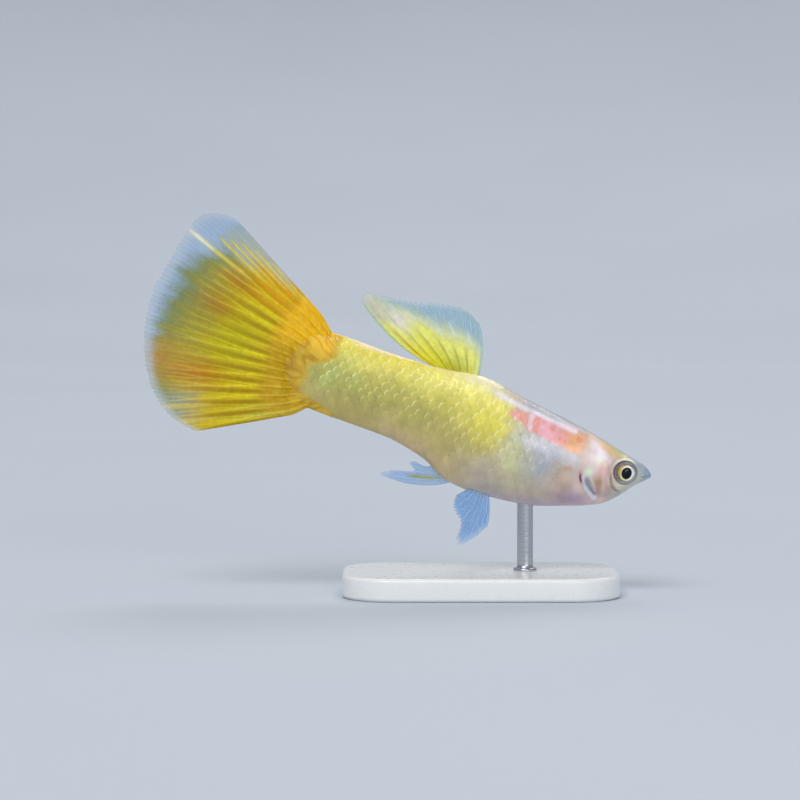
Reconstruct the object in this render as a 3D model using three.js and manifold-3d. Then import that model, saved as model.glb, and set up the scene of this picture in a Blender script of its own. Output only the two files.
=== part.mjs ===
// A fancy guppy, a male with a yellow delta tail, as a life-size still model on a small display stand.
//
// Millimetres, +Z up. The head points to +X and down, and the fish's right side faces -Y. The origin is
// under the middle of the whole model, on the surface that the stand's base rests on.
//
// The fish is drawn in its own frame first: `back` is the distance behind the tip of the snout, `up` is the
// height above it, square to the body's axis, and `side` is positive to the fish's left. One group then tilts
// the fish nose down and lifts it over the base.

import * as THREE from "three";
import { mergeVertices } from "three/addons/utils/BufferGeometryUtils.js";
import Module from "manifold-3d";

const wasm = await Module();
wasm.setup();

// Driving dimensions
const noseDown = THREE.MathUtils.degToRad(18);
const snoutPlace = { x: 21.9, z: 10.4 };
const gap = 0.3; // between neighbouring pieces
const bodyLength = 33.3; // snout to the end of the fleshy tail base

// The body's outline from the side, and its half width from above: [back, value]
const backLine = [
  [0, 0.05], [0.3, 0.4], [0.9, 0.74], [2.2, 1.03], [6.6, 2.03], [12, 2.87], [16.6, 3.6],
  [20, 3.2], [24, 3.04], [29.5, 3.22], [31.4, 3.08], [32.7, 2.35], [bodyLength, 1.0],
];
const bellyLine = [
  [0, -0.42], [0.3, -0.8], [0.9, -1.35], [2.2, -2.87], [3.3, -3.76], [6.6, -5.03], [10, -5.93],
  [14.5, -6.22], [16.6, -6.0], [19.4, -4.7], [23, -3.97], [29.5, -3.74], [31.4, -3.6], [32.7, -2.9],
  [bodyLength, -1.6],
];
const halfWidths = [
  [0, 0.6], [0.3, 0.98], [0.9, 1.28], [2.2, 1.72], [4.6, 2.35], [9, 2.78], [12, 2.68], [16.6, 2.12],
  [20, 1.62], [24, 1.24], [29.5, 0.86], [31.4, 0.64], [bodyLength, 0.34],
];
// How high the body is widest, and how square its section is above that height (2 is an ellipse)
const widestHeights = [
  [0, -0.2], [2.2, -0.5], [6.6, -1.3], [14.5, -1.5], [20, -0.6], [bodyLength, -0.3],
];
const crownSquareness = [
  [0, 2.2], [2.2, 2.7], [6.6, 2.4], [12, 2.1], [bodyLength, 2.1],
];
const bellySquareness = 2.15;

// Head
const headCut = [
  [7.5, 5], [7.0, 1.4], [6.8, -0.6], [6.5, -1.9], [5.1, -3.3], [4.5, -4.3], [4.3, -8],
]; // where the head ends: the nape, the gill opening and the throat
const eye = { back: 2.2, up: -0.46, side: 1.12, radius: 1.08, halfDepth: 0.88 };
const nostril = { back: 0.85, up: 0.44, radius: 0.16 };
const mouth = { from: [-0.4, 0.3], to: [0.66, -0.52], width: 0.2, depth: 0.3, lip: 0.32, lipProud: 0.1 };
const gillCover = {
  outline: [
    [4.5, 0.35], [5.6, 0.42], [6.35, -0.25], [6.48, -1.2], [6.1, -2.15], [5.1, -3.1], [4.3, -3.75], [3.75, -3.3],
    [3.95, -1.6],
  ],
  proud: 0.18,
  sunk: 0.5,
  halfInside: 0.9,
};
const trunkEnd = 21;

// Fins: key rays from the leading one to the last, each as base, middle and tip
const fin = { halfThickness: 0.25, rayHeight: 0.13, tipHalfThickness: 0.13 };
const dorsal = {
  rays: 8,
  keys: [
    { base: [16.75, 3.2], middle: [17.2, 5.9], tip: [18.2, 8.0] },
    { base: [17.4, 3.2], middle: [18.3, 6.2], tip: [19.9, 8.75] },
    { base: [18.1, 3.15], middle: [19.8, 6.0], tip: [22.3, 8.45] },
    { base: [18.8, 3.1], middle: [21.3, 5.5], tip: [24.8, 7.75] },
    { base: [19.4, 3.0], middle: [22.7, 4.95], tip: [27.1, 7.7] },
    { base: [20.0, 2.9], middle: [23.7, 4.4], tip: [28.7, 7.35] },
    { base: [20.4, 2.85], middle: [24.4, 3.8], tip: [28.2, 6.1] },
  ],
  wave: 0.35,
};
const pelvic = {
  rays: 6,
  keys: [
    { base: [12.95, -5.6], middle: [12.3, -7.6], tip: [12.05, -9.1] },
    { base: [13.25, -5.6], middle: [12.9, -8.4], tip: [12.9, -10.3] },
    { base: [13.5, -5.6], middle: [13.4, -8.5], tip: [13.9, -10.95] },
    { base: [13.75, -5.6], middle: [13.8, -7.6], tip: [14.1, -9.2] },
    { base: [14.0, -5.6], middle: [14.5, -7.0], tip: [15.1, -8.1] },
    { base: [14.3, -5.6], middle: [14.8, -6.6], tip: [15.3, -7.2] },
  ],
  splay: THREE.MathUtils.degToRad(20),
  side: 0.75,
  hingeUp: -5.9,
};
const anal = {
  rays: 6,
  keys: [
    { base: [15.6, -5.5], middle: [17.8, -6.8], tip: [20.6, -7.35] },
    { base: [15.9, -5.4], middle: [18.6, -6.65], tip: [22.3, -7.25] },
    { base: [16.4, -5.3], middle: [18.8, -6.3], tip: [21.4, -6.55] },
    { base: [16.9, -5.2], middle: [18.4, -5.85], tip: [19.7, -6.1] },
    { base: [17.4, -5.1], middle: [18.9, -5.55], tip: [20.2, -5.5] },
    { base: [17.8, -5.0], middle: [18.9, -5.35], tip: [19.7, -5.2] },
  ],
  rodHeight: 0.2,
};
const caudal = {
  rays: 14,
  apex: [23.1, -0.42], // where the rays would meet inside the body
  upperAngle: 29.4,
  lowerAngle: -27.8,
  rootRadius: 8.2,
  reach: 22.95,
  fullestAngle: 17,
  lowerLoss: 0.0015,
  cornerLoss: 2.6,
  scallop: 0.16,
  wave: 0.7,
};
const pectoral = {
  rays: 10,
  root: { back: 7.15, up: -2.2, sunk: 0.7 },
  rootHalfWidth: 0.62,
  length: 4.9,
  halfWidth: 1.95,
  outward: THREE.MathUtils.degToRad(60),
  droop: THREE.MathUtils.degToRad(20),
  cup: 0.35,
};

// Stand
const base = { back: 15.5, halfLength: 12, halfWidth: 7.5, height: 2, corner: 4.5, bevel: 0.35 };
const rod = { backs: [11.4], radius: 0.7, seat: 1.2 };

// Looks
const material = (color, roughness, metalness = 0) =>
  new THREE.MeshStandardMaterial({ color, roughness, metalness });
const skin = material(0xd9cfa0, 0.35);
const gillSkin = material(0xe3d6cf, 0.3);
const yellowFin = material(0xdcc21a, 0.4);
const clearFin = material(0xa9cbe6, 0.35);
const eyeGlass = material(0x1a1a20, 0.1);
const whiteAcrylic = material(0xe8e8e4, 0.45);
const steel = material(0xb8bcc0, 0.35, 1);

// A smooth curve through [position, value] pairs, read at one position (monotone cubic, no overshoot)
function readCurve(points, at) {
  const last = points.length - 1;
  if (at <= points[0][0]) return points[0][1];
  if (at >= points[last][0]) return points[last][1];
  const slope = (i) => (points[i + 1][1] - points[i][1]) / (points[i + 1][0] - points[i][0]);
  const tangent = (i) => {
    if (i === 0) return slope(0);
    if (i === last) return slope(last - 1);
    const before = slope(i - 1);
    const after = slope(i);
    return before * after <= 0 ? 0 : (2 * before * after) / (before + after);
  };
  const i = points.findIndex((p, k) => k < last && at < points[k + 1][0]);
  const span = points[i + 1][0] - points[i][0];
  const t = (at - points[i][0]) / span;
  const t2 = t * t;
  const t3 = t2 * t;
  return (
    (2 * t3 - 3 * t2 + 1) * points[i][1] +
    (t3 - 2 * t2 + t) * span * tangent(i) +
    (3 * t2 - 2 * t3) * points[i + 1][1] +
    (t3 - t2) * span * tangent(i + 1)
  );
}

// A point of the fish's frame in the group's axes
const place = (back, side, up) => new THREE.Vector3(-back, side, up);

// A point on the body's skin, or `out` mm outside it. Angle 0 is the back and a half turn the belly.
function bodyPoint(back, angle, out = 0) {
  const at = THREE.MathUtils.clamp(back, 0, bodyLength);
  const middle = readCurve(widestHeights, at);
  const c = Math.cos(angle);
  const s = Math.sin(angle);
  const above = readCurve(backLine, at) - middle + out;
  const below = middle - readCurve(bellyLine, at) + out;
  const power = 2 / (c > 0 ? readCurve(crownSquareness, at) : bellySquareness);
  const side = (readCurve(halfWidths, at) + out) * Math.sign(s) * Math.abs(s) ** power;
  const up = middle + (c > 0 ? above : below) * Math.sign(c) * Math.abs(c) ** power;
  return place(back, side, up);
}

// How far the skin is from the middle plane at a height on the flank
function flankSide(back, up) {
  const middle = readCurve(widestHeights, back);
  const edge = up > middle ? readCurve(backLine, back) : readCurve(bellyLine, back);
  const squareness = up > middle ? readCurve(crownSquareness, back) : bellySquareness;
  const share = Math.min(1, Math.abs((up - middle) / (edge - middle)));
  return readCurve(halfWidths, back) * (1 - share ** squareness) ** (1 / squareness);
}

// A closed mesh from rings of points, with a middle point at each end
function ringsGeometry(rings) {
  const around = rings[0].length;
  const positions = rings.flat().flatMap((p) => [p.x, p.y, p.z]);
  const index = [];
  for (let r = 0; r + 1 < rings.length; r++) {
    for (let k = 0; k < around; k++) {
      const a = r * around + k;
      const b = r * around + ((k + 1) % around);
      index.push(a, b, a + around, b, b + around, a + around);
    }
  }
  for (const [ring, first] of [[0, true], [rings.length - 1, false]]) {
    const centre = rings[ring].reduce((sum, p) => sum.add(p), new THREE.Vector3()).divideScalar(around);
    positions.push(centre.x, centre.y, centre.z);
    const tip = positions.length / 3 - 1;
    for (let k = 0; k < around; k++) {
      const a = ring * around + k;
      const b = ring * around + ((k + 1) % around);
      if (first) index.push(b, a, tip);
      else index.push(a, b, tip);
    }
  }
  const geometry = new THREE.BufferGeometry();
  geometry.setAttribute("position", new THREE.Float32BufferAttribute(positions, 3));
  geometry.setIndex(index);
  return geometry;
}

// Solids: three.js geometry to a manifold and back
function toSolid(geometry) {
  const bare = new THREE.BufferGeometry();
  bare.setAttribute("position", geometry.getAttribute("position"));
  if (geometry.index) bare.setIndex(geometry.index);
  const merged = mergeVertices(bare, 1e-5);
  const solid = new wasm.Manifold(
    new wasm.Mesh({
      numProp: 3,
      vertProperties: new Float32Array(merged.attributes.position.array),
      triVerts: new Uint32Array(merged.index.array),
    }),
  );
  return solid;
}

function largestBody(solid) {
  return solid.decompose().reduce((best, body) => (body.volume() > best.volume() ? body : best));
}

function toMesh(name, solid, look) {
  const { vertProperties, triVerts, numProp, numVert } = largestBody(solid).getMesh();
  const positions = new Float32Array(numVert * 3);
  for (let i = 0; i < numVert; i++) {
    positions.set(vertProperties.subarray(i * numProp, i * numProp + 3), i * 3);
  }
  const geometry = new THREE.BufferGeometry();
  geometry.setAttribute("position", new THREE.BufferAttribute(positions, 3));
  geometry.setIndex(new THREE.BufferAttribute(new Uint32Array(triVerts), 1));
  geometry.computeVertexNormals();
  const mesh = new THREE.Mesh(geometry, look);
  mesh.name = name;
  return mesh;
}

// The whole body as one solid, or the same form grown by `out` mm
function bodySolid(out = 0, around = 36, headStep = 0.45) {
  const stations = [0, 0.12, 0.3];
  for (let back = 0.6; back < 7; back += headStep) stations.push(back);
  for (let back = 7.4; back < 30; back += 1.1) stations.push(back);
  for (let back = 30.4; back < bodyLength - 0.2; back += 0.6) stations.push(back);
  stations.push(bodyLength);
  const rings = stations.map((back, i) => {
    const shift = i === 0 ? -out : i === stations.length - 1 ? out : 0;
    return Array.from({ length: around }, (_, k) => {
      const angle = (k / around) * 2 * Math.PI;
      const point = bodyPoint(back, angle, out);
      point.x -= shift;
      return point;
    });
  });
  return toSolid(ringsGeometry(rings));
}

// A flat outline in [back, up], straight-edged or smoothed, drawn out from one side to the other
function prism(outline, fromSide, toSide, smooth = 0) {
  const corners = outline.map(([back, up]) => new THREE.Vector3(-back, up, 0));
  const points = smooth ? new THREE.CatmullRomCurve3(corners, true, "centripetal").getPoints(smooth) : corners;
  if (smooth) points.pop();
  const flat = points.map((p) => new THREE.Vector2(p.x, p.y));
  const shape = new THREE.Shape(flat);
  const geometry = new THREE.ExtrudeGeometry(shape, { depth: toSide - fromSide, bevelEnabled: false });
  geometry.rotateX(Math.PI / 2);
  geometry.translate(0, toSide, 0);
  return toSolid(geometry);
}

// An outline moved out from its own centre by about `out` mm
function grown(outline, out) {
  const centre = outline.reduce((sum, p) => [sum[0] + p[0], sum[1] + p[1]], [0, 0]);
  const middle = centre.map((v) => v / outline.length);
  return outline.map(([back, up]) => {
    const away = [back - middle[0], up - middle[1]];
    const length = Math.hypot(...away);
    return [back + (away[0] / length) * out, up + (away[1] / length) * out];
  });
}

function ellipsoid(centre, radii, around = 20, rows = 12) {
  const geometry = new THREE.SphereGeometry(1, around, rows);
  geometry.scale(radii.x, radii.y, radii.z);
  geometry.translate(centre.x, centre.y, centre.z);
  return toSolid(geometry);
}

// A thin closed sheet: centre(u, v) is its middle surface, half(u, v, column) its half thickness along normal(u, v).
// u runs from the root to the margin and v across the rays; both faces are split into triangles alike.
function sheetSolid({ centre, half, normal, rows, columns }) {
  const positions = [];
  for (const face of [1, -1]) {
    for (let r = 0; r <= rows; r++) {
      for (let c = 0; c <= columns; c++) {
        const u = r / rows;
        const v = c / columns;
        const point = centre(u, v).addScaledVector(normal(u, v), face * half(u, v, c));
        positions.push(point.x, point.y, point.z);
      }
    }
  }
  const wide = columns + 1;
  const second = (rows + 1) * wide;
  const index = [];
  const quad = (a, b, c, d) => index.push(a, b, c, a, c, d);
  for (let r = 0; r < rows; r++) {
    for (let c = 0; c < columns; c++) {
      const a = r * wide + c;
      quad(a, a + 1, a + 1 + wide, a + wide);
      index.push(second + a, second + a + 1 + wide, second + a + 1);
      index.push(second + a, second + a + wide, second + a + 1 + wide);
    }
  }
  const edge = [];
  for (let c = 0; c < columns; c++) edge.push(c);
  for (let r = 0; r < rows; r++) edge.push(r * wide + columns);
  for (let c = columns; c > 0; c--) edge.push(rows * wide + c);
  for (let r = rows; r > 0; r--) edge.push(r * wide);
  edge.forEach((a, i) => {
    const b = edge[(i + 1) % edge.length];
    quad(b, a, second + a, second + b);
  });
  const geometry = new THREE.BufferGeometry();
  geometry.setAttribute("position", new THREE.Float32BufferAttribute(positions, 3));
  geometry.setIndex(index);
  const solid = toSolid(geometry);
  if (solid.volume() > 0) return solid;
  for (let i = 0; i < index.length; i += 3) [index[i + 1], index[i + 2]] = [index[i + 2], index[i + 1]];
  geometry.setIndex(index);
  return toSolid(geometry);
}

const smoothstep = (x, low, high) => THREE.MathUtils.smoothstep(x, low, high);

// A fin's half thickness: ridges on the rays, each ray forked in two past `fork`, thinned to the margin
function rayedHalf(u, column, fork = 0.5, ridge = fin.rayHeight) {
  const whole = [0, 0.7, 1, 0.7][column % 4];
  const split = [0, 1, 0.25, 1][column % 4];
  const forked = smoothstep(u, fork - 0.15, fork + 0.15);
  const height = ridge * (whole * (1 - forked) + split * forked * 0.8);
  const thin = smoothstep(u, 0.75, 1);
  return THREE.MathUtils.lerp(fin.halfThickness + height, fin.tipHalfThickness + height * 0.3, thin);
}

// A point of a fin drawn by key rays, in [back, up]
function keyRayPoint(keys, u, v) {
  const across = (part) => {
    const curve = new THREE.CatmullRomCurve3(keys.map((k) => new THREE.Vector3(k[part][0], k[part][1], 0)));
    return curve.getPoint(v);
  };
  const from = across("base");
  const middle = across("middle");
  const to = across("tip");
  const control = middle.clone().multiplyScalar(2).addScaledVector(from, -0.5).addScaledVector(to, -0.5);
  return new THREE.QuadraticBezierCurve3(from, control, to).getPoint(u);
}

const sideways = new THREE.Vector3(0, 1, 0);

// A fin in the fish's middle plane, with a slight wave to its margin
function middleFin(spec, rows, ridge) {
  return sheetSolid({
    rows,
    columns: spec.rays * 4,
    normal: () => sideways,
    centre: (u, v) => {
      const flat = keyRayPoint(spec.keys, u, v);
      return place(flat.x, (spec.wave ?? 0) * u * u * Math.sin(v * 2 * Math.PI), flat.y);
    },
    half: (u, v, column) => rayedHalf(u, column, 0.5, ridge),
  });
}

// Body pieces
const body = bodySolid();
const bodyWithGap = bodySolid(gap);

function headPrism(shift) {
  const edge = headCut.map(([back, up]) => [back + shift, up]);
  return prism([[-2, -8], [-2, 5], ...edge], -6, 6);
}

function mouthBand(halfWidth) {
  const [a, b] = [mouth.from, mouth.to];
  const length = Math.hypot(b[0] - a[0], b[1] - a[1]);
  const across = [-(b[1] - a[1]) / length, (b[0] - a[0]) / length].map((v) => v * halfWidth);
  return prism(
    [
      [a[0] + across[0], a[1] + across[1]],
      [b[0] + across[0], b[1] + across[1]],
      [b[0] - across[0], b[1] - across[1]],
      [a[0] - across[0], a[1] - across[1]],
    ],
    -3,
    3,
  );
}

function headSolid() {
  const lips = bodySolid(mouth.lipProud).intersect(mouthBand(mouth.lip));
  const cleft = mouthBand(mouth.width / 2).subtract(bodySolid(-mouth.depth, 24, 0.9));
  const coverSeat = prism(grown(gillCover.outline, gap), -6, 6, 28)
    .subtract(bodySolid(-gillCover.sunk - gap, 20, 0.9))
    .subtract(prism([[0, -8], [0, 5], [9, 5], [9, -8]], -gillCover.halfInside + gap, gillCover.halfInside - gap));
  let head = body.intersect(headPrism(0)).add(lips).subtract(cleft).subtract(coverSeat);
  for (const side of [1, -1]) {
    const eyeRoom = new THREE.Vector3(eye.radius + gap, eye.halfDepth + gap, eye.radius + gap);
    const pit = flankSide(nostril.back, nostril.up) * side;
    head = head
      .subtract(ellipsoid(place(eye.back, eye.side * side, eye.up), eyeRoom))
      .subtract(
        ellipsoid(
          place(nostril.back, pit, nostril.up),
          new THREE.Vector3(nostril.radius, nostril.radius, nostril.radius),
          10,
          8,
        ),
      );
  }
  return head;
}

function gillCoverSolid(side) {
  const [from, to] = side > 0 ? [gillCover.halfInside, 6] : [-6, -gillCover.halfInside];
  return bodySolid(gillCover.proud)
    .intersect(prism(gillCover.outline, from, to, 28))
    .subtract(bodySolid(-gillCover.sunk, 20, 0.9));
}

function eyeSolid(side) {
  return ellipsoid(
    place(eye.back, eye.side * side, eye.up),
    new THREE.Vector3(eye.radius, eye.halfDepth, eye.radius),
  );
}

function trunkSolid() {
  const front = prism([[trunkEnd, -9], [trunkEnd, 6], [-2, 6], [-2, -9]], -6, 6);
  return body.intersect(front).subtract(headPrism(gap));
}

function tailStemSolid() {
  const start = trunkEnd + gap;
  return body.intersect(prism([[start, -9], [start, 6], [40, 6], [40, -9]], -6, 6));
}

// Tail fin: rays that spread from one point inside the body
function caudalFinSolid() {
  const angleAt = (v) => THREE.MathUtils.lerp(caudal.upperAngle, caudal.lowerAngle, v);
  const marginAt = (v) => {
    const angle = angleAt(v);
    const corner = Math.abs(2 * v - 1) ** 9;
    const scallop = caudal.scallop * Math.cos(v * caudal.rays * 2 * Math.PI);
    return (
      caudal.reach -
      caudal.lowerLoss * (angle - caudal.fullestAngle) ** 2 -
      caudal.cornerLoss * corner -
      scallop * (1 - corner)
    );
  };
  return sheetSolid({
    rows: 12,
    columns: caudal.rays * 4,
    normal: () => sideways,
    centre: (u, v) => {
      const angle = THREE.MathUtils.degToRad(angleAt(v));
      const radius = THREE.MathUtils.lerp(caudal.rootRadius, marginAt(v), u);
      const side = caudal.wave * u * u * Math.sin(v * 2.5 * Math.PI + 0.6);
      return place(caudal.apex[0] + radius * Math.cos(angle), side, caudal.apex[1] + radius * Math.sin(angle));
    },
    half: (u, v, column) => rayedHalf(u, column, 0.5),
  });
}

// Pelvic fins: drawn in the middle plane, then swung out about a line along the belly
function pelvicFinSolid(side) {
  const flat = middleFin({ ...pelvic, wave: 0 }, 8, 0.1);
  const swung = new THREE.Matrix4()
    .makeTranslation(0, pelvic.side * side, pelvic.hingeUp)
    .multiply(new THREE.Matrix4().makeRotationX(pelvic.splay * side))
    .multiply(new THREE.Matrix4().makeTranslation(0, 0, -pelvic.hingeUp));
  return flat.transform(swung.toArray());
}

// Pectoral fins: a cupped fan held out and back from the flank, behind the gill cover
function pectoralFinSolid(side) {
  const { root, length, outward, droop } = pectoral;
  const rootSide = (flankSide(root.back, root.up) - root.sunk) * side;
  const origin = place(root.back, rootSide, root.up);
  const along = new THREE.Vector3(
    -Math.cos(outward) * Math.cos(droop),
    Math.sin(outward) * side,
    -Math.cos(outward) * Math.sin(droop),
  ).normalize();
  const up = new THREE.Vector3(0.25, 0, 1);
  const across = up.addScaledVector(along, -up.dot(along)).normalize();
  const face = new THREE.Vector3().crossVectors(along, across).multiplyScalar(side);
  return sheetSolid({
    rows: 8,
    columns: pectoral.rays * 2,
    normal: () => face,
    centre: (u, v) => {
      const spread = 1 - 2 * v;
      const width = THREE.MathUtils.lerp(pectoral.rootHalfWidth, pectoral.halfWidth, u ** 0.85);
      const reach = (length + root.sunk) * (1 - 0.28 * spread * spread) * u;
      return origin
        .clone()
        .addScaledVector(along, reach)
        .addScaledVector(across, spread * width)
        .addScaledVector(face, pectoral.cup * u * spread * spread);
    },
    half: (u, v, column) => {
      const ridge = column % 2 ? 0.1 : 0;
      const thin = smoothstep(u, 0.75, 1);
      return THREE.MathUtils.lerp(fin.halfThickness + ridge, fin.tipHalfThickness + ridge * 0.3, thin);
    },
  });
}

// Assembly
const fish = new THREE.Group();
fish.rotation.y = noseDown;
fish.position.set(snoutPlace.x, 0, snoutPlace.z);

fish.add(toMesh("head", headSolid(), skin));
fish.add(toMesh("trunk", trunkSolid(), skin));
fish.add(toMesh("tail_stem", tailStemSolid(), skin));
fish.add(toMesh("dorsal_fin", middleFin(dorsal, 10).subtract(bodyWithGap), yellowFin));
fish.add(toMesh("caudal_fin", caudalFinSolid().subtract(bodyWithGap), yellowFin));
fish.add(toMesh("anal_fin", middleFin(anal, 8, anal.rodHeight).subtract(bodyWithGap), clearFin));
for (const [sideName, side] of [["left", 1], ["right", -1]]) {
  fish.add(toMesh(`gill_cover_${sideName}`, gillCoverSolid(side), gillSkin));
  fish.add(toMesh(`eye_${sideName}`, eyeSolid(side), eyeGlass));
  fish.add(toMesh(`pectoral_fin_${sideName}`, pectoralFinSolid(side).subtract(bodyWithGap), clearFin));
  fish.add(toMesh(`pelvic_fin_${sideName}`, pelvicFinSolid(side).subtract(bodyWithGap), clearFin));
}

// Stand: the rod's top is cut to the belly, and its foot stands in a blind hole in the base
fish.updateMatrixWorld(true);
const toWorld = fish.matrixWorld;
const bellyWithGap = bodyWithGap.transform(toWorld.toArray());

function rodSolid(back) {
  const foot = base.height - rod.seat;
  const top = place(back, 0, 0).applyMatrix4(toWorld);
  const geometry = new THREE.CylinderGeometry(rod.radius, rod.radius, top.z - foot, 16);
  geometry.rotateX(Math.PI / 2);
  geometry.translate(top.x, 0, (top.z + foot) / 2);
  return toSolid(geometry).subtract(bellyWithGap);
}

function baseSolid() {
  const middle = place(base.back, 0, 0).applyMatrix4(toWorld);
  const { halfLength, halfWidth, corner, bevel, height } = base;
  const shape = new THREE.Shape();
  const [w, d] = [halfLength - bevel, halfWidth - bevel];
  shape.moveTo(-w + corner, -d);
  shape.lineTo(w - corner, -d);
  shape.absarc(w - corner, -d + corner, corner, -Math.PI / 2, 0);
  shape.absarc(w - corner, d - corner, corner, 0, Math.PI / 2);
  shape.absarc(-w + corner, d - corner, corner, Math.PI / 2, Math.PI);
  shape.absarc(-w + corner, -d + corner, corner, Math.PI, 1.5 * Math.PI);
  const geometry = new THREE.ExtrudeGeometry(shape, {
    depth: height - 2 * bevel,
    bevelThickness: bevel,
    bevelSize: bevel,
    bevelSegments: 1,
    curveSegments: 7,
  });
  geometry.translate(middle.x, 0, bevel);
  let plate = toSolid(geometry);
  for (const back of rod.backs) {
    const at = place(back, 0, 0).applyMatrix4(toWorld);
    const hole = new THREE.CylinderGeometry(rod.radius + gap, rod.radius + gap, 2 * (rod.seat + gap), 16);
    hole.rotateX(Math.PI / 2);
    hole.translate(at.x, 0, height);
    plate = plate.subtract(toSolid(hole));
  }
  return plate;
}

const model = new THREE.Group();
model.add(fish);
model.add(toMesh("stand_base", baseSolid(), whiteAcrylic));
rod.backs.forEach((back, i) => model.add(toMesh(`stand_rod_${i + 1}`, rodSolid(back), steel)));

export default model;
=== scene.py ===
"""The looks of a fancy guppy: one scaled skin over the flesh, rayed fins, layered eyes and a display stand.

The fish is shaped in its own frame, in millimetres, with driving values close to those of the part's
source: `back` is the distance behind the tip of the snout, `up` the height above it, square to the body's
axis, and `side` is positive to the fish's left. to_world() tilts it nose down, lifts it over the stand and
turns it into metres.
"""

import math

import bpy
import numpy as np
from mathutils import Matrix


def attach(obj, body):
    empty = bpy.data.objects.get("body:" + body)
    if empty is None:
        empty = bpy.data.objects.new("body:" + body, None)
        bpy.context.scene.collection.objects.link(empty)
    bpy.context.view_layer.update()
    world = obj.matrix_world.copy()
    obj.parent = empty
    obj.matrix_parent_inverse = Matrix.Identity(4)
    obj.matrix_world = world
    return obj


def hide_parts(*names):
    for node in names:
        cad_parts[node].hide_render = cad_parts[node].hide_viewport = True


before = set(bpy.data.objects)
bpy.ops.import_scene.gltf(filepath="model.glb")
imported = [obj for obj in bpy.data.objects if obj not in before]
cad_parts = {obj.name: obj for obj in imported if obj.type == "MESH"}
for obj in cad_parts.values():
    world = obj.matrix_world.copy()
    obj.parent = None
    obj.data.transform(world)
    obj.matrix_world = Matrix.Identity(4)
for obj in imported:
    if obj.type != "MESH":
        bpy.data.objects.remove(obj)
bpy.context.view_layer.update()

# Driving dimensions of the body, with lines as (back, value)
NOSE_DOWN = math.radians(18)
SNOUT_X, SNOUT_Z = 21.9, 10.4
SKIN_END = 33.95
BACK_LINE = [
    (0, 0.13), (0.3, 0.38), (0.9, 0.67), (2.2, 0.97), (6.6, 2.03), (12, 2.87), (16.6, 3.6), (20, 3.2),
    (24, 3.04), (29.5, 3.22), (31.4, 3.08), (32.7, 2.35), (33.3, 1.45), (33.75, 0.4), (SKIN_END, -0.25),
]
BELLY_LINE = [
    (0, -0.31), (0.3, -0.68), (0.9, -1.24), (2.2, -2.81), (3.3, -3.74), (6.6, -5.03), (10, -5.93),
    (14.5, -6.22), (16.6, -6.0), (19.4, -4.7), (23, -3.97), (29.5, -3.74), (31.4, -3.6), (32.7, -2.9),
    (33.3, -2.1), (33.75, -1.0), (SKIN_END, -0.35),
]
HALF_WIDTHS = [
    (0, 0.6), (0.3, 0.98), (0.9, 1.28), (2.2, 1.72), (4.6, 2.35), (9, 2.78), (12, 2.68), (16.6, 2.12),
    (20, 1.62), (24, 1.24), (29.5, 0.86), (31.4, 0.64), (33.3, 0.3), (SKIN_END, 0.06),
]
WIDEST_HEIGHTS = [(0, -0.15), (2.2, -0.5), (6.6, -1.3), (14.5, -1.5), (20, -0.6), (33.3, -0.3)]
CROWN_SQUARENESS = [(0, 2.2), (2.2, 2.7), (6.6, 2.4), (12, 2.1), (29.5, 2.1), (32.6, 1.45)]
BELLY_SQUARENESS = [(0, 2.15), (29.5, 2.15), (32.6, 1.45)]

# Head: the eye, the line of the mouth, the nostril, and the folds of the cheek and the gill cover
EYE_BACK, EYE_UP, EYE_SIDE = 2.2, -0.46, 1.12
EYE_RADIUS, EYE_DEPTH = 1.04, 0.86
EYE_TURN = math.radians(9)
NOSTRIL = (0.85, 0.44)
MOUTH = [(-0.3, 0.1), (0.1, -0.1), (0.6, -0.42)]
GILL_EDGE = [
    (4.6, 0.5), (5.35, 0.2), (5.8, -0.4), (5.97, -1.1), (5.92, -1.75), (5.65, -2.35), (5.1, -2.98),
    (4.4, -3.48), (3.5, -3.85), (2.6, -3.6),
]
CHEEK_GROOVE = [(3.4, -0.55), (3.26, -1.2), (2.98, -1.82), (2.55, -2.16), (1.9, -2.27)]
CHEEK_RIDGE = [(3.95, -0.35), (3.85, -1.3), (3.6, -2.3), (3.3, -3.2)]

# Tail fin: the point that its rays spread from, their number, how far out their roots lie, how far the
# fin reaches beyond them, and the fan of its rays in degrees, turned up by the tilt
CAUDAL_APEX = (23.1, -0.42)
CAUDAL_RAYS, CAUDAL_ROOT, CAUDAL_REACH = 14, 7.4, 15
CAUDAL_TOP, CAUDAL_FAN, CAUDAL_TILT = 29.0, 58.0, 1.2


def srgb(red, green, blue):
    """A colour written as on a screen, 0 to 255, in the linear values that shaders take."""
    screen = np.array([red, green, blue], float) / 255
    return np.where(screen <= 0.04045, screen / 12.92, ((screen + 0.055) / 1.055) ** 2.4)


def smooth(value, low, high):
    """A soft step: 0 below `low` and 1 above `high`."""
    t = np.clip((value - low) / (high - low), 0, 1)
    return t * t * (3 - 2 * t)


def fade(value, low, high):
    """A soft step down: 1 below `low` and 0 above `high`."""
    return 1 - smooth(value, low, high)


def bell(value, width):
    """1 at zero, fading away on both sides."""
    return np.exp(-((value / width) ** 2))


def mix(first, second, share):
    share = np.asarray(share)
    if np.shape(second)[-1:] == (3,):
        share = share[..., None]
    return first * (1 - share) + second * share


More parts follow.
